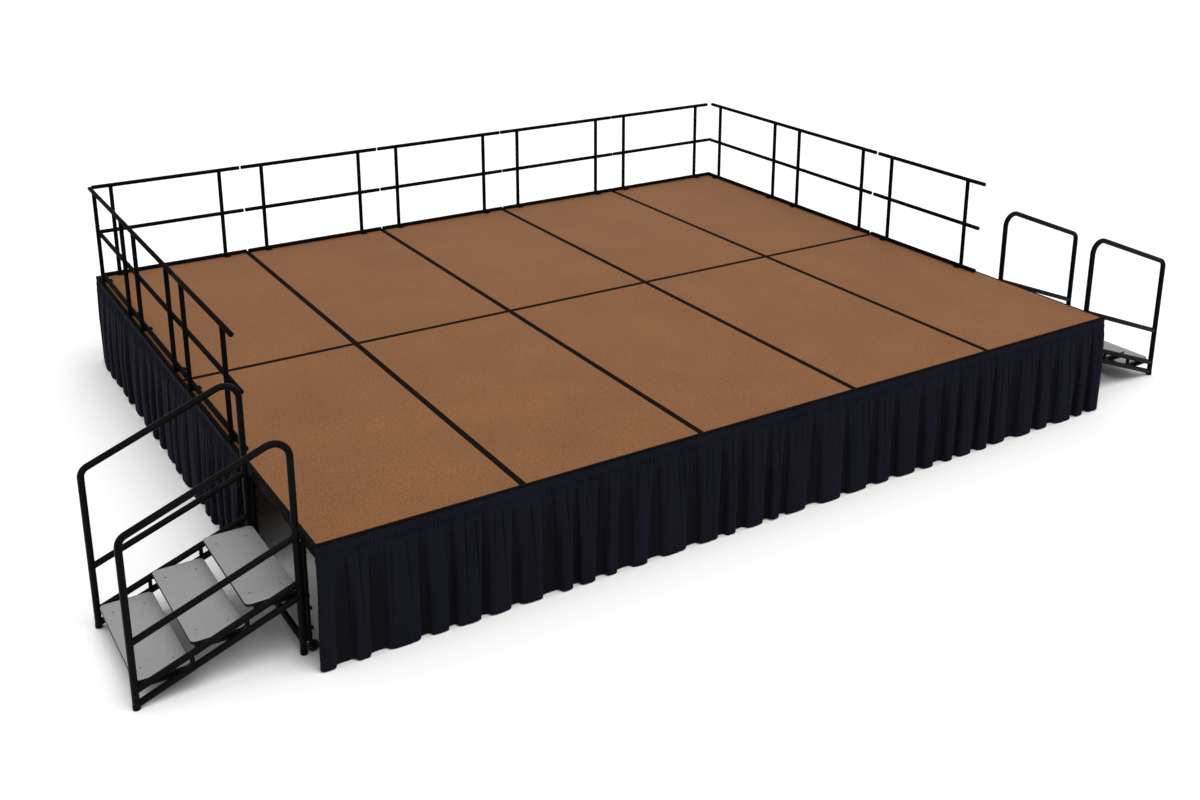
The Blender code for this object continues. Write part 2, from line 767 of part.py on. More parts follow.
def wheel_mesh():
    """A wheel about its own centre, its axle along Y, with an eased tread and a bore."""
    half = WHEEL_WIDTH / 2
    profile = [
        (WHEEL_BORE_RADIUS, half),
        (WHEEL_RADIUS - WHEEL_CROWN, half),
        (WHEEL_RADIUS, 0.0),
        (WHEEL_RADIUS - WHEEL_CROWN, -half),
        (WHEEL_BORE_RADIUS, -half),
    ]
    mesh = bpy.data.meshes.new("wheel profile")
    edges = [(index, (index + 1) % len(profile)) for index in range(len(profile))]
    mesh.from_pydata([(radius, 0.0, height) for radius, height in profile], edges, [])
    source = new_object("wheel profile", mesh)
    turned = source.modifiers.new("Turn", "SCREW")
    turned.steps = WHEEL_SIDES
    turned.render_steps = WHEEL_SIDES
    turned.use_merge_vertices = True
    turned.merge_threshold = 0.0001
    graph = bpy.context.evaluated_depsgraph_get()
    wheel = bpy.data.meshes.new_from_object(source.evaluated_get(graph))
    bpy.data.objects.remove(source)
    wheel.transform(Matrix.Rotation(math.pi / 2, 4, "X"))
    bm = bmesh.new()
    bm.from_mesh(wheel)
    bmesh.ops.recalc_face_normals(bm, faces=bm.faces)
    bm.to_mesh(wheel)
    bm.free()
    wheel.name = "wheel"
    round_off(wheel)
    return wheel


def add_deck(collection):
    """Boards and frames of every deck unit."""
    board = deck_board_mesh()
    row_names = ("front", "rear")
    for row in range(ROWS):
        frame = deck_frame_mesh(row == 0)
        for column in range(COLUMNS):
            label = f"{row_names[row]}_{column + 1}"
            centre = (column_centre(column), row_centre(row), 0.0)
            place(collection, f"deck_frame_{label}", frame, BLACK_FRAME, centre)
            place(collection, f"deck_board_{label}", board, HARDBOARD, centre)


def add_leg_frames(collection):
    """A front, a middle and a rear leg frame under every column, each on its pivot."""
    legs = leg_frame_mesh()
    pivots = {
        "front": -DECK_END + LEG_END_INSET,
        "middle": LEG_END_INSET,
        "rear": DECK_END - LEG_END_INSET,
    }
    for label, pivot_y in pivots.items():
        for column in range(COLUMNS):
            where = (column_centre(column), pivot_y, PIVOT_HEIGHT)
            place(collection, f"leg_frame_{label}_{column + 1}", legs, BLACK_STEEL, where)


def add_guard_rails(collection):
    """Five rails along the back, and a long and a short rail on each side."""
    for column in range(COLUMNS):
        last = column == COLUMNS - 1
        start = "corner" if last else "joint"
        end = "corner" if column == 0 else "joint"
        slide = RAIL_CORNER_SLIDE if last else 0.0
        mesh = guard_rail_mesh(UNIT_WIDTH, start, end, False, slide)
        where = (column_centre(column), DECK_END, DECK_HEIGHT)
        place(collection, f"guard_rail_back_{column + 1}", mesh, BLACK_STEEL, where, math.pi)
    long_y = DECK_END - UNIT_LENGTH / 2
    short_y = DECK_END - UNIT_LENGTH - UNIT_WIDTH / 2
    for side, label in ((-1, "left"), (1, "right")):
        for size, length, y, ends in (
            ("long", UNIT_LENGTH, long_y, ("joint", "corner")),
            ("short", UNIT_WIDTH, short_y, ("free", "joint")),
        ):
            start, end = ends[::side]
            mesh = guard_rail_mesh(length, start, end, True)
            where = (side * DECK_SIDE, y, DECK_HEIGHT)
            turn = side * math.pi / 2
            place(collection, f"guard_rail_{label}_{size}", mesh, BLACK_STEEL, where, turn)


def add_skirts(collection):
    """Skirts along the front and back, and down each side to the stair's opening."""
    wide = skirt_mesh(DECK_WIDTH)
    narrow = skirt_mesh(DECK_LENGTH - STAIR_OPENING)
    side_y = STAIR_OPENING / 2
    place(collection, "skirt_front", wide, SKIRT_CLOTH, (0, -DECK_END, 0), 0.0)
    place(collection, "skirt_back", wide, SKIRT_CLOTH, (0, DECK_END, 0), math.pi)
    place(collection, "skirt_left", narrow, SKIRT_CLOTH, (-DECK_SIDE, side_y, 0), -math.pi / 2)
    place(collection, "skirt_right", narrow, SKIRT_CLOTH, (DECK_SIDE, side_y, 0), math.pi / 2)


def add_stairs(collection):
    """A stair at each end: frame, treads and transport wheels."""
    frame = stair_frame_mesh()
    tread = tread_mesh()
    wheel = wheel_mesh()
    for side, label in ((-1, "left"), (1, "right")):
        turn = 0.0 if side > 0 else math.pi
        base = Vector((side * DECK_SIDE, STAIR_CENTRE, 0.0))
        place(collection, f"stair_{label}_frame", frame, BLACK_STEEL, base, turn)
        for index in range(TREADS):
            rear_edge = tread_span(index)[0]
            height = tread_top(index) - TREAD_THICKNESS / 2
            where = base + Vector((side * rear_edge, 0.0, height))
            place(collection, f"stair_{label}_tread_{index + 1}", tread, GREY_TREAD, where, turn)
        for y_side, end in ((-1, "front"), (1, "rear")):
            where = base + Vector((side * wheel_x(), y_side * STAIR_WIDTH / 2, wheel_height()))
            place(collection, f"stair_{label}_wheel_{end}", wheel, BLACK_RUBBER, where)


def main():
    clear_scene()
    collection = parts_collection()
    add_deck(collection)
    add_leg_frames(collection)
    add_guard_rails(collection)
    add_skirts(collection)
    add_stairs(collection)


main()
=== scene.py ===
"""Looks of a portable stage: guard rails, gathered skirts, stairs and finishes.

Metres, +Z up. +X runs along the stage to its right-hand stair and the audience is on the -Y
side. A stair is worked out about its own middle with x measured out from the deck's side, and
a guard rail or skirt about its middle with x along it, then each is set down on the frame.
"""

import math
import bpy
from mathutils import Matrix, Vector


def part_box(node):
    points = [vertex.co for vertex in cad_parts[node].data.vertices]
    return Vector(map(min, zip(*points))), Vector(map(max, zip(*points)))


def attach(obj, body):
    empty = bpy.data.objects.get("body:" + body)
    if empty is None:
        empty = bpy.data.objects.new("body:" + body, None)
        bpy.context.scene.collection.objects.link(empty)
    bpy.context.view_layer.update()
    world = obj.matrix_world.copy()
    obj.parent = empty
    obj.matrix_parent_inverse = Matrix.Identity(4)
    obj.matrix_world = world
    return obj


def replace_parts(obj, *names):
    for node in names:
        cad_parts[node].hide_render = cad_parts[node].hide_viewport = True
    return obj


bl_info = {
    "name": "Portable stage",
    "version": (1, 0, 0),
    "blender": (4, 5, 0),
    "location": "View3D > Sidebar > Portable stage",
    "description": "Builds the rails, skirts, stairs and finishes of a portable stage",
    "category": "Add Mesh",
}

import bpy
import numpy as np
from mathutils import Matrix

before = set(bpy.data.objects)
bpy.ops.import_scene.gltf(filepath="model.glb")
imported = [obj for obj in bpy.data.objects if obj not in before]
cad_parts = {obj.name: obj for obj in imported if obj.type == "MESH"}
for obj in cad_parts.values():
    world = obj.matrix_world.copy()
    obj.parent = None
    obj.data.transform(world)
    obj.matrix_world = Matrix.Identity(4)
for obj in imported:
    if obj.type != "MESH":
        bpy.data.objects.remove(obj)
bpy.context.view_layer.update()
ROOT_BODY = "stage"
SIDES = ((-1, "left"), (1, "right"))
COLUMNS = 5
TREADS = 3
X, Y, Z = np.eye(3)

DECK_LOW, DECK_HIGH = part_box("deck_frame_front_1")
DECK_SIDE = -DECK_LOW.x
DECK_END = -DECK_LOW.y
DECK_TOP = DECK_HIGH.z
UNIT_WIDTH = 2 * DECK_SIDE / COLUMNS
UNIT_LENGTH = DECK_END
STAIR_CENTRE = sum(corner.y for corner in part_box("stair_left_frame")) / 2

# Light and camera, with their angles in degrees

SKY_LIGHT = 0.70
LAMP_ENERGY = 1.05
LAMP_SPREAD = 42
LAMP_TURN = (27, 13, 0)
CAMERA_PLACE = (-4.992, -8.267, 4.266)
CAMERA_YAW = 32.061
CAMERA_PITCH = 17.089
CAMERA_ROLL = -0.082
CAMERA_LENS = 40.033
CAMERA_SENSOR = 36.0
CAMERA_SHIFT = -0.1458
VIEW_REACH = 400.0
FLOOR_HALF = 90
FLOOR_LEVEL = -0.0005

# Small sizes of beads, gaps and fittings

BEAD = 0.0022
POST_BEAD = 0.0020
CROSSING_RADIUS = 0.0068
BEAD_SIDES = 24
TUBE_SIDES = 24
FLOOR_GAP = 0.001
SEAT_GAP = 0.0003
HEM_RADIUS = 0.0012
AXLE_RADIUS = 0.0050
SCREW_INSET = 0.104
SCREW_ROWS = (0.052, 0.218)
CLIP_HEIGHTS = (0.110, 0.340, 0.600)
KNOB_HEIGHTS = (0.143, 0.263)


# Sizes and colours that a user would change


def metres(name, description, default):
    """A distance in metres, shown in the scene's own units."""
    return bpy.props.FloatProperty(
        name=name, description=description, default=default, unit="LENGTH", precision=4
    )


def tint(name, description, default):
    """A linear colour."""
    return bpy.props.FloatVectorProperty(
        name=name, description=description, default=default, subtype="COLOR", size=3, min=0, max=1
    )


class StageColours(bpy.types.PropertyGroup):
    """Colours of the stage's finishes"""

    board: tint("Hardboard", "Brown of the deck boards", (0.248, 0.105, 0.040))
    board_fibre: tint("Board fibre", "Dark fibres in the boards", (0.160, 0.068, 0.026))
    coating: tint("Coating", "Black coating of the tubes", (0.0048, 0.0048, 0.0050))
    band: tint("Frame band", "Black of the deck frames", (0.0062, 0.0052, 0.0042))
    cloth: tint("Cloth", "Dark navy of the skirts", (0.0088, 0.0087, 0.0144))
    tread: tint("Tread", "Grey of the treads", (0.355, 0.355, 0.355))
    tread_edge: tint("Tread edge", "Dark edge of a tread", (0.006, 0.006, 0.006))
    wheel: tint("Wheel", "Black of the wheels", (0.010, 0.010, 0.010))


class RailSizes(bpy.types.PropertyGroup):
    """Sizes of the guard rails"""

    radius: metres("Tube radius", "Radius of every rail tube", 0.0157)
    top: metres("Top rail", "Height of the top rail above the deck", 0.735)
    middle: metres("Middle rail", "Height of the middle rail above the deck", 0.375)
    post_inset: metres("Post inset", "Distance of a post from its bay's end", 0.178)
    joint_gap: metres("Joint gap", "Gap between two back rails", 0.016)
    side_joint_gap: metres("Side joint gap", "Gap between two side rails", 0.038)
    corner_setback: metres("Corner setback", "Distance of a rail from a corner", 0.034)
    corner_slide: metres("Slide", "Distance the last back rail is slid along", 0.034)
    foot_width: metres("Foot width", "Width of a foot plate", 0.052)
    foot_reach: metres("Foot reach", "Reach of a foot plate onto the deck", 0.084)
    foot_thickness: metres("Foot thickness", "Thickness of a foot plate", 0.007)


class SkirtSizes(bpy.types.PropertyGroup):
    """Sizes of the gathered skirts"""

    top_drop: metres("Top", "Distance of the top edge below the deck", 0.003)
    clearance: metres("Clearance", "Distance of the hem above the floor", 0.008)
    heading: metres("Heading", "Height of the shirred band", 0.085)
    shirring: metres("Shirring", "Pitch of the fine gathers", 0.019)
    depth: metres("Fold depth", "Depth of the folds at the hem", 0.045)
    step: metres("Step", "Distance between neighbouring points along the cloth", 0.0032)


class StairSizes(bpy.types.PropertyGroup):
    """Sizes of the stairs"""

    width: metres("Width", "Distance between the two side frames", 0.830)
    rear: metres("Rear post", "Distance of the rear posts from the deck", 0.030)
    length: metres("Length", "Distance from the rear posts to the front posts", 0.869)
    radius: metres("Tube radius", "Radius of the handrail tube", 0.019)
    front_top: metres("Front height", "Height of the handrail's front corner", 0.950)
    rear_top: metres("Rear height", "Height of the handrail's rear corner", 1.2925)
    front_bend: metres("Front bend", "Radius of the handrail's front bend", 0.060)
    rear_bend: metres("Rear bend", "Radius of the handrail's rear bend", 0.090)
    mid_front: metres("Mid rail front", "Height of the mid rail at the front post", 0.375)
    mid_rear: metres("Mid rail rear", "Height of the mid rail at the rear post", 0.703)
    mid_radius: metres("Mid rail radius", "Radius of the mid rail", 0.018)
    stringer_radius: metres("Stringer radius", "Radius of the stringer tubes", 0.0185)
    stringer_front: metres("Stringer front", "Upper stringer's front height", 0.105)
    stringer_rear: metres("Stringer rear", "Upper stringer's rear height", 0.430)
    stringer_spacing: metres("Stringer spacing", "Drop to the lower stringer", 0.080)
    tread_depth: metres("Tread depth", "Depth of a tread", 0.285)
    tread_pitch: metres("Tread pitch", "Distance from one tread to the next", 0.2915)
    tread_thickness: metres("Tread thickness", "Thickness of a tread board", 0.018)
    tread_half: metres("Tread half width", "Half the width of a tread", 0.393)
    tread_corner: metres("Tread corner", "Radius of a tread's corners", 0.030)
    tread_setback: metres("Tread setback", "Distance of the first tread from the front", 0.007)
    tread_first: metres("First tread", "Height of the lowest tread", 0.142)
    tread_rise: metres("Rise", "Height from one tread to the next", 0.118)
    tie_height: metres("Tie", "Height of the tie between the rear posts", 0.085)
    prop_radius: metres("Second tube", "Radius of the tubes behind the posts", 0.0145)
    prop_top: metres("Second tube top", "Height of those tubes' tops", 0.6637)
    prop_foot: metres("Second tube foot", "Height of those tubes' feet", 0.074)
    prop_spacing: metres("Spacing", "Distance of such a tube from its post", 0.0345)
    wheel_radius: metres("Wheel radius", "Radius of a transport wheel", 0.032)
    wheel_width: metres("Wheel width", "Width of a transport wheel", 0.022)
    wheel_clearance: metres("Wheel clearance", "Gap under a wheel", 0.0025)
    wheel_reach: metres("Wheel reach", "Distance of a wheel from its post", 0.053)

    @property
    def front(self):
        """X of the front posts."""
        return self.rear + self.length

    @property
    def prop(self):
        """X of the tubes behind the rear posts."""
        return self.rear - self.prop_spacing

    @property
    def axle(self):
        """X and height of the wheels' axles."""
        return self.rear - self.wheel_reach, self.wheel_radius + self.wheel_clearance

    @property
    def slope(self):
        """Rise of the stringers over each metre towards the rear."""
        return (self.stringer_rear - self.stringer_front) / self.length

    def stringer_x(self, height):
        """X at which the upper stringer reaches a height."""
        return self.front - (height - self.stringer_front) / self.slope

    def tread_edge_place(self, index):
        """X and height of a tread's upper front edge."""
        x = self.front - self.tread_setback - index * self.tread_pitch
        return x, self.tread_first + index * self.tread_rise


# Shapes worked out as whole arrays


def unit(vectors):
    """Vectors divided by their lengths."""
    vectors = np.asarray(vectors, float)
    return vectors / np.linalg.norm(vectors, axis=-1, keepdims=True)


def grid_quads(rows, columns, wrap_rows=False, wrap_columns=False):
    """Corner numbers of the quads between neighbouring rows and columns of a grid."""
    row = np.arange(rows if wrap_rows else rows - 1)[:, None]
    column = np.arange(columns if wrap_columns else columns - 1)[None, :]
    this, following = row * columns, (row + 1) % rows * columns
    beside = (column + 1) % columns
    corners = (this + column, this + beside, following + beside, following + column)
    return np.stack(np.broadcast_arrays(*corners), -1).reshape(-1, 4)


class Shape:
    """Points with the quads and triangles between them, and a value at each point."""

    def __init__(self, points, quads, triangles=(), mark=0.0):
        self.points = np.asarray(points, float)
        self.quads = np.asarray(quads, int).reshape(-1, 4)
        self.triangles = np.asarray(triangles, int).reshape(-1, 3)
        self.mark = np.broadcast_to(mark, len(self.points)).astype(float)

    def outward(self):
        """Turns every face over if the closed shape's signed volume comes out below zero: the
        volume is a sixth of the sum, over triangles, of a dot (b cross c)."""
        sides = np.concatenate([self.quads[:, :3], self.quads[:, [0, 2, 3]], self.triangles])
        a, b, c = (self.points[sides[:, k]] - self.points.mean(0) for k in range(3))
        if np.einsum("ij,ij->", a, np.cross(b, c)) < 0:
            self.quads = self.quads[:, ::-1]
            self.triangles = self.triangles[:, ::-1]
        return self

    def turned(self, angle, place):
        """The same shape turned about the upright and moved to a place."""
        cos, sin = math.cos(angle), math.sin(angle)
        turn = np.array([[cos, sin, 0], [-sin, cos, 0], [0, 0, 1]])
        return Shape(self.points @ turn + np.array(place), self.quads, self.triangles, self.mark)


def joined(shapes):
    """Every shape in one, each keeping its own points."""
    starts = np.cumsum([0] + [len(shape.points) for shape in shapes])
    return Shape(
        np.concatenate([shape.points for shape in shapes]),
        np.concatenate([shape.quads + start for shape, start in zip(shapes, starts)]),
        np.concatenate([shape.triangles + start for shape, start in zip(shapes, starts)]),
        np.concatenate([shape.mark for shape in shapes]),
    )


def ring_shape(rings, closed=False, mark=0.0):
    """A surface through a stack of rings, given as rows by columns by 3. It closes on itself,
    or each end closes on a pole at the middle of its last ring."""
    rows, columns = rings.shape[:2]
    points = rings.reshape(-1, 3)
    quads = grid_quads(rows, columns, wrap_rows=closed, wrap_columns=True)
    marks = np.repeat(np.broadcast_to(mark, rows), columns)
    if closed:
        return Shape(points, quads, mark=marks).outward()
    step = np.arange(columns)
    after = (step + 1) % columns
    base = (rows - 1) * columns
    pole = np.full(columns, len(points))
    first = np.stack([after, step, pole], -1)
    last = np.stack([base + step, base + after, pole + 1], -1)
    points = np.concatenate([points, rings[[0, -1]].mean(1)])
    marks = np.append(marks, marks[[0, -1]])
    return Shape(points, quads, np.concatenate([first, last]), marks).outward()


def on_circle(angle):
    """(cos t, sin t) at some angles t."""
    return np.stack([np.cos(angle), np.sin(angle)], -1)


def circle(radius, sides=20):
    """Points round a circle in a plane."""
    return radius * on_circle(np.arange(sides) * 2 * math.pi / sides)


def radials(first, second, sides=BEAD_SIDES):
    """Vectors all round a circle: first * cos t + second * sin t."""
    return circle(1, sides) @ np.array([first, second])


def rounded_rectangle(width, height, radius, steps=4):
    """Points round a rectangle whose corners are quarter circles."""
    quarter = np.linspace(0, math.pi / 2, steps + 1)
    angle = (quarter[None, :] + np.arange(4)[:, None] * math.pi / 2).ravel()
    signs = np.repeat([(1, 1), (-1, 1), (-1, -1), (1, -1)], steps + 1, axis=0)
    return signs * (np.array([width, height]) / 2 - radius) + radius * on_circle(angle)


# Rings at a bar's end: one well inside its flat end, then a quarter circle round to its side

RIM_TURN = np.radians([0, 0, 30, 60, 90])
RIM_ALONG = 1 - np.cos(RIM_TURN)
RIM_INSET = 1 - np.sin(RIM_TURN) + [2, 0, 0, 0, 0]
RIM_RINGS = len(RIM_TURN)


def sweep(path, profile, side, ease=0.001, closed=False):
    """A profile carried along a path: point = path + u * side + v * (side cross tangent), with
    (u, v) from the profile. Near each end the profile shrinks by a quarter circle's rule, so
    that the end is flat with an eased rim."""
    path = np.asarray(path, float)
    side = unit(np.broadcast_to(side, path.shape))
    if closed:
        tangent = np.roll(path, -1, 0) - np.roll(path, 1, 0)
        inset = np.zeros(len(path))
    else:
        start, end = unit(path[1] - path[0]), unit(path[-1] - path[-2])
        run = ease * RIM_ALONG[:, None]
        path = np.concatenate([path[0] + run * start, path[1:-1], path[-1] - run[::-1] * end])
        between = np.zeros(len(path) - 2 * RIM_RINGS)
        inset = ease * np.concatenate([RIM_INSET, between, RIM_INSET[::-1]])
        times = np.ones(len(side), int)
        times[[0, -1]] = RIM_RINGS
        side = side.repeat(times, 0)
        tangent = np.gradient(path, axis=0)
        tangent[:RIM_RINGS] = start
        tangent[-RIM_RINGS:] = end
    up = np.cross(side, unit(tangent))
    scale = 1 - np.minimum(inset[:, None] / np.abs(profile).max(0), 0.9)
    offsets = profile[None] * scale[:, None]
    rings = path[:, None] + offsets[..., :1] * side[:, None] + offsets[..., 1:] * up[:, None]
    return ring_shape(rings, closed, inset < ease * 0.99)


def any_side(along):
    """A direction square to a vector."""
    return unit(np.cross(along, np.eye(3)[np.argmin(np.abs(along))]))


def rod(start, end, radius, sides=TUBE_SIDES, ease=0.001):
    """A straight round bar with eased ends."""
    return sweep([start, end], circle(radius, sides), any_side(np.subtract(end, start)), ease)


def block(low, high, radius=0.002, axis=2):
    """A block between two corners with rounded long edges, drawn out along one axis."""
    size, middle = np.subtract(high, low), np.add(low, high) / 2
    reach = np.eye(3)[axis] * size / 2
    across = (axis + 1) % 3
    outline = rounded_rectangle(size[across], size[(axis + 2) % 3], radius)
    return sweep([middle - reach, middle + reach], outline, np.eye(3)[across], radius)


def lathe(profile, centre, axis, sides=24, closed=False):
    """A profile of (distance from the axis, distance along it) turned round an axis. A profile
    point on the axis is drawn in to a very small ring, and a pole closes it."""
    across = any_side(axis)
    profile = np.asarray(profile, float)[..., None]
    reach = np.maximum(profile[:, :1], 0.0002)
    rings = centre + reach * radials(across, np.cross(axis, across), sides) + profile[:, 1:] * axis
    return ring_shape(rings, closed)


def bent_path(corners, bends, steps=14):
    """A path through corners, rounded at each inner one by an arc of its own radius: an arc
    starts radius / tan(half the corner's angle) before the corner."""
    corners = np.asarray(corners, float)
    share = np.linspace(0, 1, steps + 1)[:, None]
    path = [corners[:1]]
    for before, corner, after, bend in zip(corners, corners[1:], corners[2:], bends):
        back, ahead = unit(before - corner), unit(after - corner)
        half = math.acos(back @ ahead) / 2
        centre = corner + unit(back + ahead) * bend / math.sin(half)
        first, last = (corner + way * bend / math.tan(half) - centre for way in (back, ahead))
        arc = math.pi - 2 * half
        swept = (first * np.sin((1 - share) * arc) + last * np.sin(share * arc)) / math.sin(arc)
        path.append(centre + swept)
    return np.concatenate([*path, corners[-1:]])


def bead(path, radial, radius=BEAD):
    """A weld bead along a closed path, given the direction outwards at each point."""
    return sweep(path, circle(radius, 6), radial, closed=True)


def weld(centre, main_axis, main_radius, branch, branch_radius, radius=BEAD):
    """A bead round the saddle where a branch tube meets a main tube: the branch's circle,
    lifted along the branch by sqrt(R^2 - (r sin t)^2)."""
    branch = unit(branch)
    across = unit(np.cross(branch, main_axis))
    radial = radials(np.cross(across, branch), across)
    cos, sin = circle(1, BEAD_SIDES).T
    lift = np.sqrt(np.maximum(main_radius**2 - (branch_radius * sin) ** 2, 0))
    slant = abs(branch @ main_axis)
    lean = branch_radius * cos * slant / math.sqrt(1 - slant**2)
    path = centre + branch_radius * radial + (lift + lean)[:, None] * branch
    return bead(path, radial, radius)


def cap_bolt(centre, axis, radius, height):
    """A domed cap bolt on a washer."""
    washer = radius * 1.55
    profile = [(0, -0.001), (washer, -0.001), (washer, 0.0009), (washer * 0.96, 0.0012)]
    profile += [(radius * 1.02, 0.0012), (radius, 0.0016), (radius * 0.98, height * 0.5)]
    profile += [(radius * 0.84, height * 0.8), (radius * 0.55, height), (0, height * 1.08)]
    return lathe(profile, centre, axis, 16)


def added(name, data):
    """A new object in the scene."""
    obj = bpy.data.objects.new(name, data)
    bpy.context.scene.collection.objects.link(obj)
    return obj


def as_object(name, shape, finish, slot, body=ROOT_BODY, smooth=50):
    """A mesh object at the origin from a shape, in a named finish, riding on a body."""
    corners = np.concatenate([shape.quads.ravel(), shape.triangles.ravel()])
    totals = np.repeat([4, 3], [len(shape.quads), len(shape.triangles)])
    mesh = bpy.data.meshes.new(name)
    mesh.vertices.add(len(shape.points))
    mesh.vertices.foreach_set("co", shape.points.astype(np.float32).ravel())
    mesh.loops.add(len(corners))
    mesh.loops.foreach_set("vertex_index", corners.astype(np.int32))
    mesh.polygons.add(len(totals))
    mesh.polygons.foreach_set("loop_start", (np.cumsum(totals) - totals).astype(np.int32))
    mesh.polygons.foreach_set("use_smooth", np.ones(len(totals), bool))
    mesh.update(calc_edges=True)
    mark = mesh.attributes.new("mark", "FLOAT", "POINT")
    mark.data.foreach_set("value", shape.mark.astype(np.float32))
    mesh.set_sharp_from_angle(angle=math.radians(smooth))
    mesh.materials.append(bpy.data.materials[finish])
    obj = added(name, mesh)
    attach(obj, body)
    return obj


# Materials


class Value:
    """A socket that carries a number. Its operators add Math nodes to its tree."""

    def __init__(self, tree, socket):
        self.tree, self.socket = tree, socket

    def math(self, operation, other):
        """A Math node on this socket and another one or a number."""
        node = self.tree.nodes.new("ShaderNodeMath")
        node.operation = operation
        for socket, value in zip(node.inputs, (self, other)):
            connect(self.tree, socket, value)
        return Value(self.tree, node.outputs[0])

    def __add__(self, other):
        return self.math("ADD", other)

    def __mul__(self, other):
        return self.math("MULTIPLY", other)

    __radd__ = __add__
    __rmul__ = __mul__


def connect(tree, socket, value):
    """Links a socket to another one, or sets it to a plain value."""
    if isinstance(value, Value):
        tree.links.new(value.socket, socket)
    elif isinstance(value, tuple) and len(value) < len(socket.default_value):
        socket.default_value = (*value, 1.0)
    else:
        socket.default_value = value


class Finish:
    """A material or world and the one method that adds each node it needs."""

    def __init__(self, name, kind="materials"):
        self.owner = getattr(bpy.data, kind).new(name)
        self.owner.use_nodes = True
        self.tree = self.owner.node_tree
        self.tree.nodes.clear()

    def node(self, kind, settings=None, numbered=None, output=0, **named):
        """A node with its settings made first, and then its inputs, by number or by name, linked
        or set."""
        node = self.tree.nodes.new(f"ShaderNode{kind}")
        for name, value in (settings or {}).items():
            if name == "stops":
                self.set_stops(node.color_ramp, value)
            else:
                setattr(node, name, value)
        inputs = {name.replace("_", " "): value for name, value in named.items()}
        for socket, value in {**(numbered or {}), **inputs}.items():
            connect(self.tree, node.inputs[socket], value)
        return Value(self.tree, node.outputs[output])

    def set_stops(self, ramp, stops):
        """A ramp's stops from (place, grey or colour) pairs."""
        while len(ramp.elements) < len(stops):
            ramp.elements.new(1.0)
        for element, (place, colour) in zip(ramp.elements, stops):
            element.position = place
            grey = (colour,) * 3 if isinstance(colour, float) else colour
            element.color = (*grey, 1.0)

    def noise(self, scale, detail, roughness, stretch=(1, 1, 1)):
        """Noise of so many cells to the metre, on Object coordinates stretched by a scale."""
        place = self.node("TexCoord", output="Object")
        place = self.node("Mapping", Vector=place, Scale=stretch)
        return self.node("TexNoise", Vector=place, Scale=scale, Detail=detail, Roughness=roughness)

    def mark(self):
        """The value that the mesh carries at each point: on the skirts the painted shade of the
        folds, on the treads the dark edge.
        """
        return self.node("Attribute", {"attribute_name": "mark"}, output="Fac")

    def seen(self):
        """1 for rays that the eye follows: from the camera, glossy and clear surfaces."""
        kinds = ("Is Camera Ray", "Is Glossy Ray", "Is Transmission Ray")
        camera, glossy, clear = (self.node("LightPath", output=kind) for kind in kinds)
        return camera + glossy + clear

    def ramp(self, value, *stops):
        """A value through a ramp."""
        return self.node("ValToRGB", {"stops": stops}, Fac=value)

    def mixed(self, factor, first, second, blend="MIX"):
        """Two colours mixed."""
        settings = {"data_type": "RGBA", "blend_type": blend}
        return self.node("Mix", settings, {0: factor, 6: first, 7: second}, output=2)

    def times(self, first, second):
        """Two colours multiplied."""
        return self.mixed(1.0, first, second, "MULTIPLY")

    def bump(self, height, strength, distance):
        """A normal from a height."""
        return self.node("Bump", Strength=strength, Distance=distance, Height=height)

    def surface(self, **inputs):
        """The Principled shader as the material's surface."""
        return self.end(self.node("BsdfPrincipled", **inputs))

    def end(self, shader, kind="Material"):
        """Any shader as the surface of what owns the nodes, which is given back."""
        output = self.tree.nodes.new(f"ShaderNodeOutput{kind}")
        connect(self.tree, output.inputs["Surface"], shader)
        return self.owner


def scaled(colour, share):
    """A colour times a share."""
    return tuple(channel * share for channel in colour)


def hardboard_finish(colours):
    """Pressed brown board: fine mottled fibre, faint cloudiness and a dull sheen."""
    finish = Finish("brown hardboard")
    fibre = finish.noise(95.0, 4.0, 0.62)
    flecks = finish.noise(230.0, 3.0, 0.6, (1, 0.6, 1))
    cloud = finish.noise(2.2, 3.0, 0.5)
    board, dark = tuple(colours.board), tuple(colours.board_fibre)
    tone = finish.ramp(fibre, (0.34, dark), (0.50, board), (0.66, scaled(board, 1.30)))
    spots = finish.ramp(flecks, (0.32, 0.0), (0.44, 1.0))
    speckled = finish.mixed(0.55, tone, finish.mixed(spots, dark, tone))
    return finish.surface(
        Base_Color=finish.times(speckled, finish.ramp(cloud, (0.30, 0.93), (0.70, 1.05))),
        Roughness=0.62 + fibre * 0.16,
        Specular_IOR_Level=0.13,
        Sheen_Weight=0.06,
        Sheen_Roughness=0.3,
        Normal=finish.bump(fibre * 0.7 + flecks * 0.3, 0.25, 0.0006),
    )


def coating_finish(name, colour, gloss, specular):
    """Powder coating: a fine orange peel, with dust that dulls it in broad patches."""
    finish = Finish(name)
    patches = finish.noise(6.0, 3.0, 0.6)
    scuffs = finish.noise(90.0, 4.0, 0.65, (1, 1, 0.25))
    worn = finish.ramp(scuffs, (0.64, 0.0), (0.76, 1.0))
    grain = finish.ramp(patches, (0.3, scaled(colour, 0.86)), (0.7, scaled(colour, 1.18)))
    return finish.surface(
        Base_Color=finish.mixed(worn * 0.25, grain, scaled(colour, 2.6)),
        Roughness=gloss + patches * 0.12 + worn * 0.10,
        Specular_IOR_Level=specular,
        Normal=finish.bump(finish.noise(700.0, 2.0, 0.5), 0.10, 0.0003),
    )


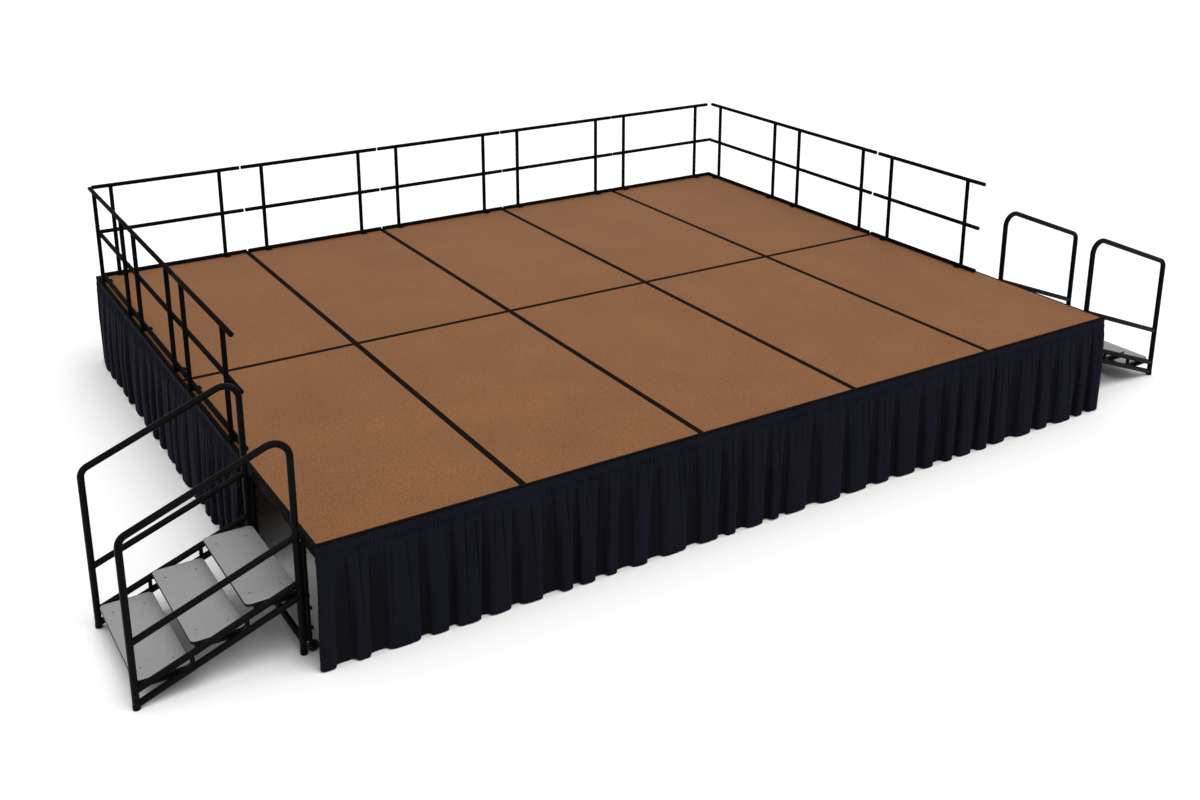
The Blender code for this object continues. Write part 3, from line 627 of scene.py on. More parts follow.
def cloth_finish(colours):
    """Plain-woven skirt cloth: threads both ways on the cloth's own lengths, uneven dye, a soft
    sheen and painted shade, darker in the fold recesses, along the creases and in the gathers'
    valleys."""
    finish = Finish("dark navy skirt cloth")
    lengths = finish.node("TexCoord", output="UV")
    bands = {"Vector": lengths, "Scale": 180.0, "Distortion": 0.4, "Detail": 1.0}
    warp, weft = (finish.node("TexWave", {"bands_direction": way}, **bands) for way in "XY")
    weave = warp * 0.5 + weft * 0.5
    slub = finish.noise(160.0, 3.0, 0.6, (1, 1, 0.12))
    dye = finish.noise(3.0, 3.0, 0.5, (1, 1, 0.35))
    cloth = tuple(colours.cloth)
    tone = finish.ramp(slub, (0.30, scaled(cloth, 0.82)), (0.70, scaled(cloth, 1.22)))
    dyed = finish.times(tone, finish.ramp(dye, (0.30, 0.90), (0.70, 1.10)))
    woven = finish.times(dyed, finish.ramp(weave, (0.0, 0.86), (1.0, 1.10)))
    # Painted shade of the folds: the mesh's mark, darkest in recesses and creases, picks how much
    # these multiply the cloth's colour
    recess_painted_shade, side, face = (0.20, 0.20, 0.18), (0.68, 0.68, 0.62), (1.0, 1.0, 1.06)
    painted_fold_shade = finish.ramp(finish.mark(), (0.0, recess_painted_shade), (0.15, side), (0.70, face))
    return finish.surface(
        Base_Color=finish.times(woven, painted_fold_shade),
        Roughness=0.80 + slub * 0.12,
        Specular_IOR_Level=0.03,
        Sheen_Weight=0.02,
        Sheen_Roughness=0.5,
        Sheen_Tint=(0.55, 0.55, 0.75),
        Normal=finish.bump(weave * 0.6 + slub * 0.4, 0.35, 0.0004),
    )


def tread_finish(colours):
    """Grey board with a fine pebbled face, scuffed along the walking line, and a dark edge."""
    finish = Finish("grey tread board")
    pebble = finish.noise(520.0, 2.0, 0.5)
    mottle = finish.noise(55.0, 3.0, 0.6)
    scuffs = finish.noise(34.0, 4.0, 0.7, (0.35, 1, 1))
    grey = tuple(colours.tread)
    tone = finish.ramp(mottle, (0.30, scaled(grey, 0.94)), (0.70, scaled(grey, 1.05)))
    face = finish.times(tone, finish.ramp(pebble, (0.30, 0.93), (0.70, 1.05)))
    marked = finish.ramp(scuffs, (0.66, 0.0), (0.74, 1.0))
    rubbed = finish.mixed(marked * 0.10, face, scaled(grey, 0.72))
    return finish.surface(
        Base_Color=finish.mixed(finish.mark(), rubbed, tuple(colours.tread_edge)),
        Roughness=0.58 + pebble * 0.14,
        Specular_IOR_Level=0.20,
        Normal=finish.bump(pebble, 0.22, 0.0005),
    )


def rubber_finish(colours):
    """Solid black wheel: a fine moulded grain, dusty where it rolls."""
    finish = Finish("black wheel rubber")
    dust = finish.noise(70.0, 3.0, 0.6)
    black = tuple(colours.wheel)
    return finish.surface(
        Base_Color=finish.ramp(dust, (0.35, black), (0.75, scaled(black, 2.2))),
        Roughness=0.60 + dust * 0.20,
        Specular_IOR_Level=0.20,
        Normal=finish.bump(finish.noise(900.0, 2.0, 0.5), 0.15, 0.0003),
    )


def screw_finish():
    """Zinc screw heads dulled by shoes."""
    finish = Finish("dulled screw heads")
    dirt = finish.noise(400.0, 3.0, 0.6)
    base = finish.ramp(dirt, (0.35, 0.07), (0.70, 0.13))
    return finish.surface(Base_Color=base, Roughness=0.42 + dirt * 0.2, Metallic=0.4)


def floor_finish():
    """White floor that keeps shadows, painted into its colour. To the eye it is a white matt
    surface whose colour has painted shade, darker where little sky reaches it, and which has a
    painted glow of its own where much does; to light that bounces it is greyer."""
    finish = Finish("white studio floor")
    sky = finish.node("AmbientOcclusion", {"samples": 16}, output="AO", Distance=1.0)
    # Painted glow where the occlusion node finds much sky
    glow = finish.ramp(sky, (0.40, 0.0), (0.60, 1.0)) * 0.19
    lift = finish.node("Emission", Color=(1, 1, 1), Strength=glow)
    # Painted shade: the matt colour darkens where the occlusion node finds little sky
    matt = finish.node("BsdfDiffuse", Color=finish.ramp(sky, (0.02, 0.25), (0.34, 1.0)))
    shown = finish.node("AddShader", None, {0: matt, 1: lift})
    bounce = finish.node("BsdfDiffuse", Color=(0.62, 0.62, 0.62))
    return finish.end(finish.node("MixShader", None, {0: finish.seen(), 1: bounce, 2: shown}))


# Guard rails


def rail_end_gap(sizes, end, line, butts):
    """How far a rail's tube stops short of its bay: at a joint, at a corner or nowhere."""
    if end == "free":
        return 0.0
    if end == "joint":
        return (sizes.side_joint_gap if butts else sizes.joint_gap) / 2
    if butts and line > sizes.radius:
        return line + sizes.radius
    return sizes.corner_setback


def foot_shapes(sizes, x):
    """A foot plate with rounded corners, its clamp bolt and the bead round its post."""
    top, middle = sizes.foot_thickness, sizes.foot_reach / 2
    trim, corner, rim = 0.0006, 0.006, 0.0008
    outline = rounded_rectangle(sizes.foot_width, sizes.foot_reach - trim, corner)
    plate = sweep([(x, middle, SEAT_GAP), (x, middle, top)], outline, X, rim)
    bolt_inset, bolt_radius, bolt_height = 0.0085, 0.0052, 0.0075
    bolt = cap_bolt((x, sizes.foot_reach - bolt_inset, top), Z, bolt_radius, bolt_height)
    radial = radials(X, Y)
    return [plate, bolt, bead((x, sizes.radius, top) + sizes.radius * radial, radial)]


def crossing_bead(sizes, x, line, inner, height):
    """A bead round the spot where a rail crosses a post: a small ring whose distance inboard
    is midway between the two tubes' surfaces."""
    across, up = circle(CROSSING_RADIUS, BEAD_SIDES).T
    post = line + np.sqrt(sizes.radius**2 - across**2)
    rail = inner - np.sqrt(sizes.radius**2 - up**2)
    path = np.stack([x + across, (post + rail) / 2, height + up], -1)
    return bead(path, radials(X, Z), POST_BEAD)


def guard_rail_shape(sizes, length, start, end, butts, slide=0.0):
    """A guard rail about its middle, +Y inboard and z = 0 on the deck's surface. Its posts and
    its top tube's start are slid along from the corner."""
    line = radius = sizes.radius
    overlap, lift, rim = 0.0015, 0.0004, 0.0015
    inner, toe = line + 2 * radius - overlap, radius + lift
    shapes = []
    for at, height, slid in ((line, sizes.top, slide), (inner, sizes.middle, 0), (inner, toe, 0)):
        low = slid - length / 2 + rail_end_gap(sizes, start, at, butts)
        high = length / 2 - rail_end_gap(sizes, end, at, butts)
        shapes.append(rod((low, at, height), (high, at, height), radius, ease=rim))
    bays = max(1, round(length / UNIT_WIDTH))
    bay = length / bays
    starts = slide - length / 2 + bay * np.arange(bays)
    for x in np.concatenate([starts + sizes.post_inset, starts + bay - sizes.post_inset]):
        top = (x, line, sizes.top)
        shapes.append(rod((x, line, FLOOR_GAP), top, radius))
        shapes.append(weld(top, X, radius, -Z, radius, POST_BEAD))
        shapes += [crossing_bead(sizes, x, line, inner, height) for height in (sizes.middle, toe)]
        shapes += foot_shapes(sizes, x)
    return joined(shapes)


class BuildGuardRails(bpy.types.Operator):
    """Five guard rails along the back, and a long and a short one on each side"""

    bl_idname = "portable_stage.guard_rails"
    bl_label = "Guard rails"

    def execute(self, context):
        sizes = context.scene.stage_rails
        for column in range(COLUMNS):
            last = column == COLUMNS - 1
            start = "corner" if last else "joint"
            end = "corner" if column == 0 else "joint"
            slide = sizes.corner_slide if last else 0.0
            shape = guard_rail_shape(sizes, UNIT_WIDTH, start, end, False, slide)
            middle = -DECK_SIDE + (column + 0.5) * UNIT_WIDTH
            self.set_down(f"back_{column + 1}", shape, math.pi, (middle, DECK_END))
        for side, label in SIDES:
            for size, length, middle, ends in (
                ("long", UNIT_LENGTH, DECK_END - UNIT_LENGTH / 2, ("joint", "corner")),
                ("short", UNIT_WIDTH, -UNIT_WIDTH / 2, ("free", "joint")),
            ):
                shape = guard_rail_shape(sizes, length, *ends[::side], True)
                place = (side * DECK_SIDE, middle)
                self.set_down(f"{label}_{size}", shape, side * math.pi / 2, place)
        return {"FINISHED"}

    def set_down(self, name, shape, turn, place):
        """A rail turned onto its side of the deck, standing for its CAD node."""
        node = f"guard_rail_{name}"
        placed = shape.turned(turn, (*place, DECK_TOP))
        rail = as_object(f"{node}_tubes", placed, "matt black rail coating", "black_steel")
        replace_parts(rail, node)


# Skirts


def smooth_step(value, low, high):
    """0 below low, 1 above high and an eased rise between."""
    share = np.clip((value - low) / (high - low), 0, 1)
    return share * share * (3 - 2 * share)


def wander(along, seed, pitch):
    """A slow wandering value between about -1 and 1, with a knot at every pitch."""
    knots = np.arange(along.min() - 2 * pitch, along.max() + 3 * pitch, pitch)
    values = np.random.default_rng(seed).uniform(-1, 1, len(knots))
    at = (along - knots[0]) / pitch
    first = np.floor(at).astype(int)
    eased = smooth_step(at - first, 0, 1)
    return values[first] * (1 - eased) + values[first + 1] * eased


def fold_phase(along, length, seed, *widths):
    """A phase that grows by pi over each lobe and each recess along a skirt, which have seeded
    widths that add up to its length."""
    random = np.random.default_rng(seed)
    count = max(2, round(length / sum(np.mean(width) for width in widths)))
    drawn = [random.choice(width, count) * random.uniform(0.9, 1.1, count) for width in widths]
    ends = np.cumsum(np.stack(drawn, -1).ravel()[:-1])
    edges = np.append(0, ends) * length / ends[-1]
    return np.interp(along, edges, np.arange(len(edges)) * math.pi)


def folds(sizes, length, seed, along, down, drop):
    """The broad folds. The share of its depth that the cloth stands out is, with p the phase,
    (1 + tanh(k (cos p + lean)) / tanh k) / 2, and it slides along by a share of sin(2 p), which
    makes a fold's neck narrower than its face. Gives the share, the distance out and the slide."""
    lobes, recesses = (0.075, 0.105, 0.13, 0.165), (0.055, 0.075, 0.105)
    phase = fold_phase(along, length, seed, lobes, recesses) - math.pi / 2
    rate = np.gradient(along, axis=1) / np.maximum(np.gradient(phase, axis=1), 1e-6)
    body = smooth_step(down, sizes.heading * 0.8, drop * 0.75)
    below = smooth_step(down, sizes.heading * 0.75, sizes.heading * 1.5)
    square = 2.1 - 0.7 * body
    lean = 0.70 * (1 - body)
    lobe = 0.5 + 0.5 * np.tanh(square * (np.cos(phase) + lean)) / np.tanh(square)
    fullness = 0.86 + 0.14 * wander(along, seed + 1, 0.23)
    depth = sizes.depth * fullness * (0.30 + 0.70 * body) * (0.20 + 0.80 * below)
    slide = 0.30 * np.clip(rate, 0.008, 0.055) * np.sin(2 * phase) * body
    return lobe, depth * lobe, slide


def creases(sizes, length, seed, along, down, drop):
    """Sharp creases where a second phase passes a multiple of pi, fading towards the hem: the
    distance out between them, and how much each point lies in one, which darkens it with painted
    shade."""
    phase = fold_phase(along, length, seed + 2, (0.05, 0.065, 0.085), (0.04, 0.06, 0.075))
    below = smooth_step(down, sizes.heading * 0.75, sizes.heading * 1.5)
    fade = below * (1 - 0.70 * smooth_step(down, drop * 0.25, drop * 0.9))
    pinch = np.exp(-((np.sin(phase) / 0.20) ** 2))
    depth = 0.0135 * (0.62 + 0.38 * wander(along, seed + 7, 0.09)) * fade
    return depth * (1 - pinch), pinch * fade


def gathers(sizes, seed, along, down):
    """Fine gathers of the heading, which puff out between its tape and the folds: the distance
    out, the painted light, which is painted shade in the gathers' valleys, and the unevenness of
    the top edge."""
    phase = 2 * math.pi * along / sizes.shirring + 4.0 * wander(along, seed + 3, 0.06)
    strength = 0.6 + 0.4 * wander(along, seed + 4, 0.035)
    tape = sizes.heading * np.array([0.0, 0.12, 0.20, 0.45, 0.62, 0.80, 1.0, 1.7])
    puff = np.interp(down, tape, (0.55, 0.45, 0.15, 0.12, 0.85, 1.0, 0.60, 0.0))
    valley = np.exp(-((np.sin(phase / 2) / 0.50) ** 2))
    uneven = 0.0026 * np.sin(phase) * strength * (1 - smooth_step(down, 0, 0.02))
    return 0.0105 * strength * puff * (1 - valley), 1 - puff * valley, uneven


def round_corner(track, out, length):
    """X and y of points some way out from a skirt's line, which turns back through a quarter
    circle past each end and then runs straight."""
    corner, flattened, stand_off = 0.010, 0.45, 0.004
    held = np.clip(track, 0, length)
    past = track - held
    angle = np.clip(past / corner, -math.pi / 2, math.pi / 2)
    wrapped = smooth_step(np.abs(past), 0, 0.02)
    out = out * (1 - flattened * wrapped) + stand_off * wrapped
    back = np.maximum(np.abs(past) - corner * math.pi / 2, 0)
    return held - length / 2 + out * np.sin(angle), back - out * np.cos(angle)


def skirt_grid(sizes, length, wraps, covered, seed):
    """A gathered skirt about its middle, as rows by columns by 3, and the painted light at each
    point: painted shade in the fold recesses, along the creases and in the gathers' valleys. It
    may wrap round a corner of the deck, and it lies flatter at an end that another skirt covers."""
    points = int((wraps[0] + length + wraps[1]) / sizes.step) + 1
    along = np.linspace(-wraps[0], length + wraps[1], points)[None, :]
    top = DECK_TOP - sizes.top_drop
    drop = top - sizes.clearance
    heading, body = np.linspace(0, sizes.heading, 12), np.linspace(sizes.heading, drop, 22)
    down = np.concatenate([heading, body[1:]])[:, None]
    lobe, fold_out, slide = folds(sizes, length, seed, along, down, drop)
    ripple, creased = creases(sizes, length, seed, along, down, drop)
    shirr, gather_painted_light, uneven = gathers(sizes, seed, along, down)
    fade = 1.0
    for hidden, distance in zip(covered, (along, length - along)):
        if hidden:
            fade = fade * (0.15 + 0.85 * smooth_step(distance, 0.02, 0.10))
    lean = 0.010 * wander(along, seed + 5, 0.31) * smooth_step(down, 0.1, drop)
    out = 0.0016 + (fold_out + ripple + shirr) * fade
    x, y = round_corner(along + (slide + lean) * fade, out, length)
    hem_wave = 0.003 * wander(along, seed + 6, 0.27) * smooth_step(down, drop * 0.6, drop)
    sheet = turned_hem(np.stack([x, y, top - down + uneven + hem_wave], -1))
    # Painted light of the folds: painted shade in the recesses, along the creases and in the
    # gathers' valleys
    started = smooth_step(down, sizes.heading * 0.6, sizes.heading * 2.2)
    light = (0.15 + 0.85 * lobe) * (1 - 0.55 * creased) * started + gather_painted_light * (1 - started)
    return sheet, np.pad(np.clip(light, 0, 1), ((0, len(sheet) - len(down)), (0, 0)), "edge")


def turned_hem(grid):
    """The grid with its hem turned up behind it: rows a little inwards of the last one, first
    round a narrow edge and then straight up."""
    inwards = unit(np.cross(Z, np.gradient(grid[-1], axis=0)))
    turned = ((0.5, -0.0008), (1.1, 0.0006), (1.2, 0.012), (1.2, 0.026))
    rows = [grid[-1] + inwards * HEM_RADIUS * inset + Z * lift for inset, lift in turned]
    return np.concatenate([grid, rows])


def skirt_object(name, grid, light, turn, place):
    """The cloth as an open sheet facing out, with its own lengths as UVs, which are given too."""
    rows, columns = grid.shape[:2]
    quads = grid_quads(rows, columns)[:, ::-1]
    # The mark carries the painted light of the folds: painted shade in recesses and creases
    shape = Shape(grid.reshape(-1, 3), quads, mark=light.ravel()).turned(turn, (*place, 0.0))
    obj = as_object(name, shape, "dark navy skirt cloth", "skirt_cloth", smooth=180)
    gaps = (np.linalg.norm(np.diff(grid, axis=way), axis=-1).mean(1 - way) for way in (1, 0))
    across, down = (np.append(0, np.cumsum(gap)) for gap in gaps)
    uv = np.stack(np.meshgrid(across, -down), -1).reshape(-1, 2)[quads.ravel()]
    layer = obj.data.uv_layers.new(name="cloth lengths")
    layer.data.foreach_set("uv", uv.astype(np.float32).ravel())
    return obj, float(across[-1]), float(down[-1])


class BuildSkirts(bpy.types.Operator):
    """A gathered skirt along the front, the back and each side"""

    bl_idname = "portable_stage.skirts"
    bl_label = "Skirts"

    def execute(self, context):
        sizes = context.scene.stage_skirts
        wide, narrow = 2 * DECK_SIDE, 2 * DECK_END - UNIT_WIDTH
        middle = UNIT_WIDTH / 2
        for node, length, wraps, covered, seed, turn, place in (
            ("skirt_front", wide, (0.0, 0.055), (False, False), 11, 0.0, (0, -DECK_END)),
            ("skirt_back", wide, (0.030, 0.030), (False, False), 23, math.pi, (0, DECK_END)),
            ("skirt_left", narrow, (0, 0), (True, False), 37, -math.pi / 2, (-DECK_SIDE, middle)),
            ("skirt_right", narrow, (0, 0), (False, True), 53, math.pi / 2, (DECK_SIDE, middle)),
        ):
            # light is the painted light of the folds
            grid, light = skirt_grid(sizes, length, wraps, covered, seed)
            piece, width, drop = skirt_object(f"{node}_cloth", grid, light, turn, place)
            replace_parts(piece, node)
        return {"FINISHED"}


# Stairs


def set_down_stair(shape, side):
    """A stair's shape turned to face out from its side of the deck and set down there."""
    turn = 0.0 if side > 0 else math.pi
    return shape.turned(turn, (side * DECK_SIDE, STAIR_CENTRE, 0.0))


def post_foot(place, radius):
    """A moulded ferrule over a tube's foot."""
    outer = radius + 0.0014
    profile = [(0, 0.0), (outer * 0.80, 0.0), (outer * 0.95, 0.0014), (outer, 0.004)]
    profile += [(outer, 0.024), (outer - 0.0006, 0.0255), (radius - 0.001, 0.0262), (0, 0.0262)]
    return lathe(profile, place, Z)


def welded_rod(sizes, start, end, radius):
    """A bar between two posts, with a weld bead at each end."""
    start, end = np.array(start), np.array(end)
    beads = [
        weld(at, Z, sizes.radius, way, radius)
        for at, way in ((start, end - start), (end, start - end))
    ]
    return [rod(start, end, radius), *beads]


def side_frame_shapes(sizes, y):
    """Handrail loop, mid rail, stringers, spacers and their weld beads on one side."""
    front, rear, tube = sizes.front, sizes.rear, sizes.stringer_radius
    feet = [(front, y, FLOOR_GAP), (rear, y, FLOOR_GAP)]
    corners = [feet[0], (front, y, sizes.front_top), (rear, y, sizes.rear_top), feet[1]]
    loop = bent_path(corners, (sizes.front_bend, sizes.rear_bend))
    shapes = [sweep(loop, circle(sizes.radius, 28), Y)]
    shapes += [post_foot((x, y, 0.0), sizes.radius) for x in (front, rear)]
    lines = [(sizes.mid_front, sizes.mid_rear, sizes.mid_radius)]
    for drop in (0.0, sizes.stringer_spacing):
        lines.append((sizes.stringer_front - drop, sizes.stringer_rear - drop, tube))
    for low, high, radius in lines:
        shapes += welded_rod(sizes, (front, y, low), (rear, y, high), radius)
    half = 0.010
    for index in range(TREADS - 1):
        x = sizes.tread_edge_place(index)[0] - sizes.tread_depth
        upper = sizes.stringer_front + (front - x) * sizes.slope
        lower = upper - sizes.stringer_spacing
        shapes.append(block((x - half, y - half, lower), (x + half, y + half, upper)))
    return shapes


def tread_support_shapes(sizes, index):
    """Two square cross bars and two angle carriers under a tread."""
    bar, thickness, web, flange = 0.0125, 0.004, 0.018, 0.024
    tread_x, tread_top = sizes.tread_edge_place(index)
    top = tread_top - sizes.tread_thickness - SEAT_GAP
    middle = top - bar
    front_x = min(sizes.stringer_x(middle), tread_x - 2 * bar)
    rear_x = max(sizes.stringer_x(middle + sizes.stringer_spacing), sizes.rear)
    half = sizes.width / 2
    line = half - 0.006
    shapes = []
    for x in (front_x, rear_x):
        shapes.append(block((x - bar, -half, top - 2 * bar), (x + bar, half, top), 0.0025, axis=1))
    for side in (-1, 1):
        for reach, depth in ((thickness, web), (flange, thickness)):
            near, far = sorted((side * line, side * (line - reach)))
            low, high = (rear_x, near, top - depth), (front_x, far, top - SEAT_GAP)
            shapes.append(block(low, high, 0.001, axis=0))
    return shapes


def knob_shape(place):
    """A small domed knob on a short neck, pointing back from its tube."""
    profile = [(0, 0), (0.0052, 0), (0.0052, 0.0018), (0.0095, 0.0026), (0.0110, 0.0045)]
    profile += [(0.0112, 0.0080), (0.0102, 0.0098), (0.0060, 0.0109), (0, 0.0112)]
    return lathe(profile, place, -X, 20)


def clip_shape(sizes, y, height):
    """A clamp that holds the second tube to its post: a rounded block across both."""
    half, proud = 0.009, 0.002
    low = (sizes.prop - sizes.prop_radius - proud, y - half, height - half)
    return block(low, (sizes.rear, y + half, height + half), 0.003, axis=0)


def plate_outline(first, first_radius, last, last_radius):
    """A plate's outline round two circles: their outer arcs and the straight lines that touch
    both, whose angle from the line of centres has cosine (r1 - r2) / distance."""
    gap = np.subtract(last, first)
    heading = math.atan2(gap[1], gap[0])
    spread = math.acos((first_radius - last_radius) / math.hypot(*gap))
    near = np.linspace(heading + spread, heading + 2 * math.pi - spread, 15)
    far = np.linspace(heading - spread, heading + spread, 15)
    arcs = (first + first_radius * on_circle(near), last + last_radius * on_circle(far))
    return np.concatenate(arcs)


def bracket_shape(sizes, plate, side):
    """A wheel bracket plate from the second tube's foot down to the axle, with eased rims."""
    foot = (sizes.prop + 0.002, sizes.prop_foot + 0.009)
    axle_radius, foot_radius, rim, thickness = 0.0145, 0.0095, 0.0008, 0.004
    rings = []
    for offset, shrink in ((0, rim), (rim, 0), (thickness - rim, 0), (thickness, rim)):
        outline = plate_outline(sizes.axle, axle_radius - shrink, foot, foot_radius - shrink)
        rings.append(np.insert(outline, 1, plate + side * offset, axis=1))
    return ring_shape(np.array(rings))


def prop_shapes(sizes, side):
    """A second tube behind a rear post, with clips, knobs and the wheel's bracket: its plate, the
    bridge that joins it to the tube, the axle and two cap bolts."""
    prop, foot = sizes.prop, sizes.prop_foot
    x, z = sizes.axle
    y = side * sizes.width / 2
    reach = side * (sizes.wheel_width / 2 + SEAT_GAP)
    plate, inner, sunk = y + reach, y - reach, side * 0.002
    knob = prop - sizes.prop_radius + 0.0008
    shapes = [rod((prop, y, foot), (prop, y, sizes.prop_top), sizes.prop_radius, ease=0.0012)]
    shapes.append(post_foot((prop, y, foot - FLOOR_GAP), sizes.prop_radius))
    shapes += [clip_shape(sizes, y, height) for height in CLIP_HEIGHTS]
    shapes += [knob_shape((knob, y, height)) for height in KNOB_HEIGHTS]
    shapes.append(bracket_shape(sizes, plate, side))
    half, low, high = 0.0075, foot + 0.001, foot + 0.016
    near, far = sorted((y, plate + sunk))
    shapes.append(block((prop - half, near, low), (prop + half, far, high), axis=1))
    shapes.append(rod((x, plate + sunk, z), (x, inner - side * 0.003, z), AXLE_RADIUS, 20))
    for at, way in ((inner, -side), (plate + 2 * sunk, side)):
        shapes.append(cap_bolt((x, at, z), way * Y, 0.0058, 0.0040))
    return shapes


class BuildStairFrames(bpy.types.Operator):
    """The welded frame of each stair, with its handrails and props"""

    bl_idname = "portable_stage.stair_frames"
    bl_label = "Stair frames"

    def execute(self, context):
        sizes = context.scene.stage_stairs
        half = sizes.width / 2
        shapes = side_frame_shapes(sizes, -half) + side_frame_shapes(sizes, half)
        for index in range(TREADS):
            shapes += tread_support_shapes(sizes, index)
        ends = [(sizes.rear, y, sizes.tie_height) for y in (-half, half)]
        shapes += welded_rod(sizes, *ends, sizes.stringer_radius)
        shapes += prop_shapes(sizes, -1) + prop_shapes(sizes, 1)
        whole = joined(shapes)
        for side, label in SIDES:
            node = f"stair_{label}_frame"
            placed = set_down_stair(whole, side)
            tubes = as_object(f"{node}_tubes", placed, "black powder-coated steel", "black_steel")
            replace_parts(tubes, node)
        return {"FINISHED"}


def tread_shape(sizes, index):
    """A tread board: a rounded rectangle drawn up through its thickness, with eased rims."""
    front, top = sizes.tread_edge_place(index)
    middle = front - sizes.tread_depth / 2
    width = 2 * sizes.tread_half
    outline = rounded_rectangle(sizes.tread_depth, width, sizes.tread_corner, 8)
    return sweep([(middle, 0, top - sizes.tread_thickness), (middle, 0, top)], outline, X, 0.0012)


def screw_shapes(sizes, index):
    """Four countersunk screws in a tread, two near each end."""
    front, top = sizes.tread_edge_place(index)
    profile = [(0, -0.0020), (0.0058, -0.0020), (0.0062, 0.0002), (0.0056, 0.0006)]
    profile += [(0.0026, 0.0007), (0.0020, -0.0001), (0, -0.0002)]
    line = sizes.tread_half - SCREW_INSET
    places = [(front - inset, side * line, top) for side in (-1, 1) for inset in SCREW_ROWS]
    return [lathe(profile, place, Z, 16) for place in places]


class BuildStairTreads(bpy.types.Operator):
    """Three treads on each stair, with their screws"""

    bl_idname = "portable_stage.stair_treads"
    bl_label = "Stair treads"

    def execute(self, context):
        sizes = context.scene.stage_stairs
        for side, label in SIDES:
            for index in range(TREADS):
                node = f"stair_{label}_tread_{index + 1}"
                tread = set_down_stair(tread_shape(sizes, index), side)
                board = as_object(f"{node}_board", tread, "grey tread board", "tread_board")
                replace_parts(board, node)
                screws = set_down_stair(joined(screw_shapes(sizes, index)), side)
                as_object(f"{node}_screws", screws, "dulled screw heads", "black_steel")
        return {"FINISHED"}


def wheel_shape(sizes):
    """A wheel turned about Y: crowned tread, rounded shoulders, a dished side and a hub."""
    radius, half = sizes.wheel_radius, sizes.wheel_width / 2
    rows = [(0.0053, 0), (0.0095, 0), (0.0102, 0.0006), (0.0106, 0.0022), (0.0200, 0.0026)]
    rows += [(0.0212, 0.0012), (0.0222, 0.0003), (0.0270, 0.0004), (0.0297, 0.0020)]
    side = [(reach, half - sunk) for reach, sunk in [*rows, (radius - 0.0010, 0.0048)]]
    crown = [(radius - 0.0002, half * share) for share in (0.3, -0.3)]
    other = [(reach, -height) for reach, height in side[::-1]]
    return lathe(side + crown + other, (0, 0, 0), Y, 40, closed=True)


class BuildWheels(bpy.types.Operator):
    """The four transport wheels, each riding on its own axle"""

    bl_idname = "portable_stage.wheels"
    bl_label = "Transport wheels"

    def execute(self, context):
        sizes = context.scene.stage_stairs
        reach, height = sizes.axle
        for side, label in SIDES:
            for way, end in ((-1, "front"), (1, "rear")):
                y = STAIR_CENTRE + way * sizes.width / 2
                wheel = wheel_shape(sizes).turned(0.0, (side * (DECK_SIDE + reach), y, height))
                name, body = f"stair_{label}_wheel_{end}", f"wheel_{label}_{end}"
                looks = ("black wheel rubber", "wheel_rubber")
                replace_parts(as_object(f"{name}_tyre", wheel, *looks, body), name)
        return {"FINISHED"}


# Finishes of the frame's own nodes, and the room


class MakeFinishes(bpy.types.Operator):
    """Makes every material, and gives the deck and leg frames theirs"""

    bl_idname = "portable_stage.finishes"
    bl_label = "Finishes"

    def execute(self, context):
        colours = context.scene.stage_colours
        black = tuple(colours.coating)
        coating_finish("matt black rail coating", black, 0.50, 0.004)
        cloth_finish(colours)
        tread_finish(colours)
        rubber_finish(colours)
        screw_finish()
        looks = {
            "deck_board": hardboard_finish(colours),
            "deck_frame": coating_finish("black coated frame", tuple(colours.band), 0.55, 0.008),
            "leg_frame": coating_finish("black powder-coated steel", black, 0.32, 0.030),
        }
        for name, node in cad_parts.items():
            for start, material in looks.items():
                if name.startswith(start):
                    node.data.materials.clear()
                    node.data.materials.append(material)
        return {"FINISHED"}


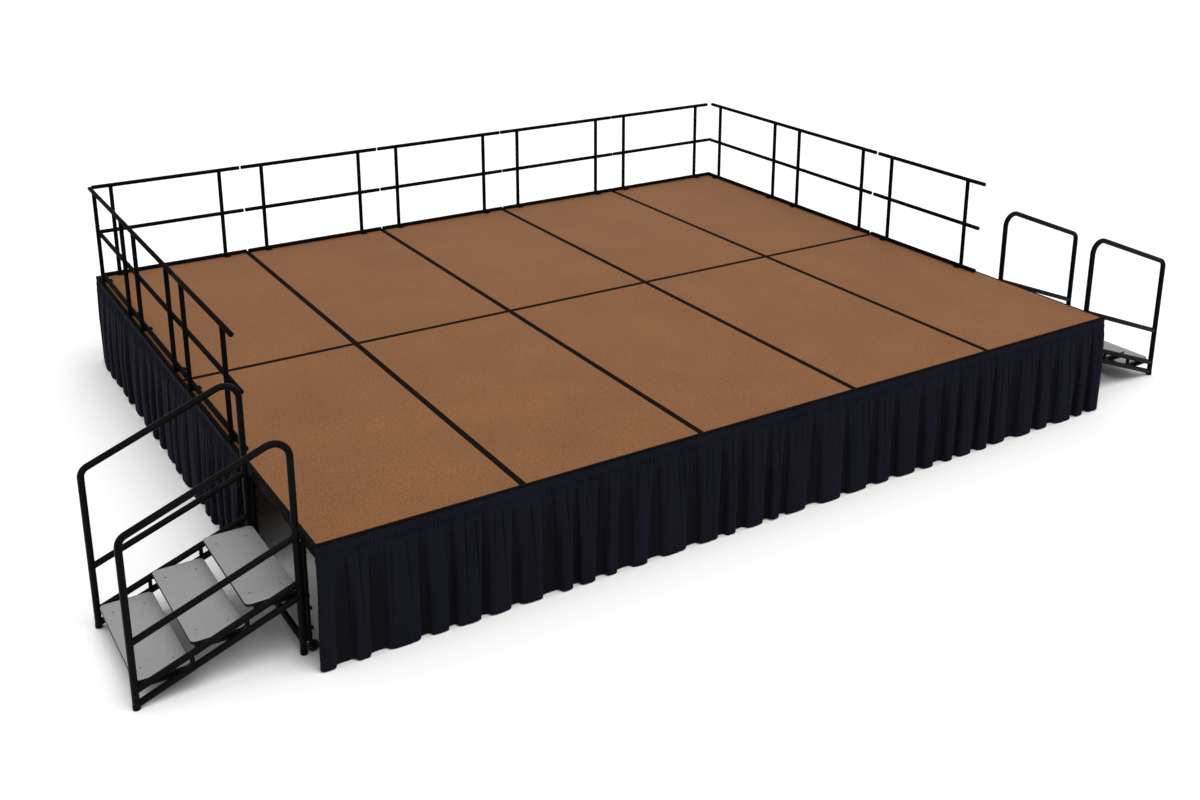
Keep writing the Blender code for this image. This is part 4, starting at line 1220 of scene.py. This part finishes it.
class BuildStudio(bpy.types.Operator):
    """White floor, soft light and the camera"""

    bl_idname = "portable_stage.studio"
    bl_label = "Studio"

    def execute(self, context):
        self.add_floor()
        self.add_world(context.scene)
        self.add_light()
        self.add_camera(context.scene)
        context.scene.view_settings.view_transform = "Standard"
        return {"FINISHED"}

    def add_floor(self):
        """A wide flat floor just under the feet."""
        lines = 5
        x, y = np.meshgrid(*[np.linspace(-FLOOR_HALF, FLOOR_HALF, lines)] * 2)
        points = np.stack([x, y, np.full_like(x, FLOOR_LEVEL)], -1).reshape(-1, 3)
        mesh = bpy.data.meshes.new("floor")
        mesh.from_pydata(points.tolist(), [], grid_quads(lines, lines).tolist())
        mesh.materials.append(floor_finish())
        added("floor", mesh)

    def add_world(self, scene):
        """An even white sky: full white to the eye, dimmer as a light."""
        finish = Finish("even sky", "worlds")
        strength = finish.seen() * (1 - SKY_LIGHT) + SKY_LIGHT
        sky = finish.node("Background", Color=(1, 1, 1), Strength=strength)
        scene.world = finish.end(sky, "World")

    def add_light(self):
        """One very wide soft lamp, far off, high to the right of the front."""
        lamp = bpy.data.lights.new("soft lamp", "SUN")
        lamp.angle = math.radians(LAMP_SPREAD)
        lamp.energy = LAMP_ENERGY
        added("soft lamp", lamp).rotation_euler = [math.radians(angle) for angle in LAMP_TURN]

    def add_camera(self, scene):
        """The photograph's viewing place, worked out from the deck's joints and the posts."""
        lens = bpy.data.cameras.new("camera")
        lens.sensor_width = CAMERA_SENSOR
        lens.lens = CAMERA_LENS
        lens.shift_y = CAMERA_SHIFT
        lens.clip_end = VIEW_REACH
        turn = Matrix.Translation(CAMERA_PLACE)
        for angle, axis in ((-CAMERA_YAW, "Z"), (90 - CAMERA_PITCH, "X"), (-CAMERA_ROLL, "Z")):
            turn = turn @ Matrix.Rotation(math.radians(angle), 4, axis)
        scene.camera = added("camera", lens)
        scene.camera.matrix_world = turn


class StagePanel(bpy.types.Panel):
    """Lists the stage's pieces in the sidebar"""

    bl_idname = "VIEW3D_PT_portable_stage"
    bl_label = "Portable stage"
    bl_space_type = "VIEW_3D"
    bl_region_type = "UI"
    bl_category = "Portable stage"

    def draw(self, context):
        for operator in OPERATORS:
            self.layout.operator(operator.bl_idname)
        for group in GROUPS:
            sizes = getattr(context.scene, group)
            column = self.layout.column(align=True)
            column.label(text=GROUPS[group].bl_rna.name)
            for name in sizes.bl_rna.properties.keys():
                if name not in ("rna_type", "name"):
                    column.prop(sizes, name)


OPERATORS = (
    MakeFinishes,
    BuildGuardRails,
    BuildSkirts,
    BuildStairFrames,
    BuildStairTreads,
    BuildWheels,
    BuildStudio,
)
GROUPS = {
    "stage_colours": StageColours,
    "stage_rails": RailSizes,
    "stage_skirts": SkirtSizes,
    "stage_stairs": StairSizes,
}


def register():
    """Adds the settings, operators and panel."""
    for name, group in GROUPS.items():
        bpy.utils.register_class(group)
        setattr(bpy.types.Scene, name, bpy.props.PointerProperty(type=group))
    for operator in (*OPERATORS, StagePanel):
        bpy.utils.register_class(operator)


def unregister():
    """Takes them away again."""
    for operator in (StagePanel, *reversed(OPERATORS)):
        bpy.utils.unregister_class(operator)
    for name, group in GROUPS.items():
        delattr(bpy.types.Scene, name)
        bpy.utils.unregister_class(group)


def main():
    """Builds every piece."""
    register()
    bpy.ops.portable_stage.finishes()
    bpy.ops.portable_stage.guard_rails()
    bpy.ops.portable_stage.skirts()
    bpy.ops.portable_stage.stair_frames()
    bpy.ops.portable_stage.stair_treads()
    bpy.ops.portable_stage.wheels()
    bpy.ops.portable_stage.studio()


if __name__ == "__main__":
    main()
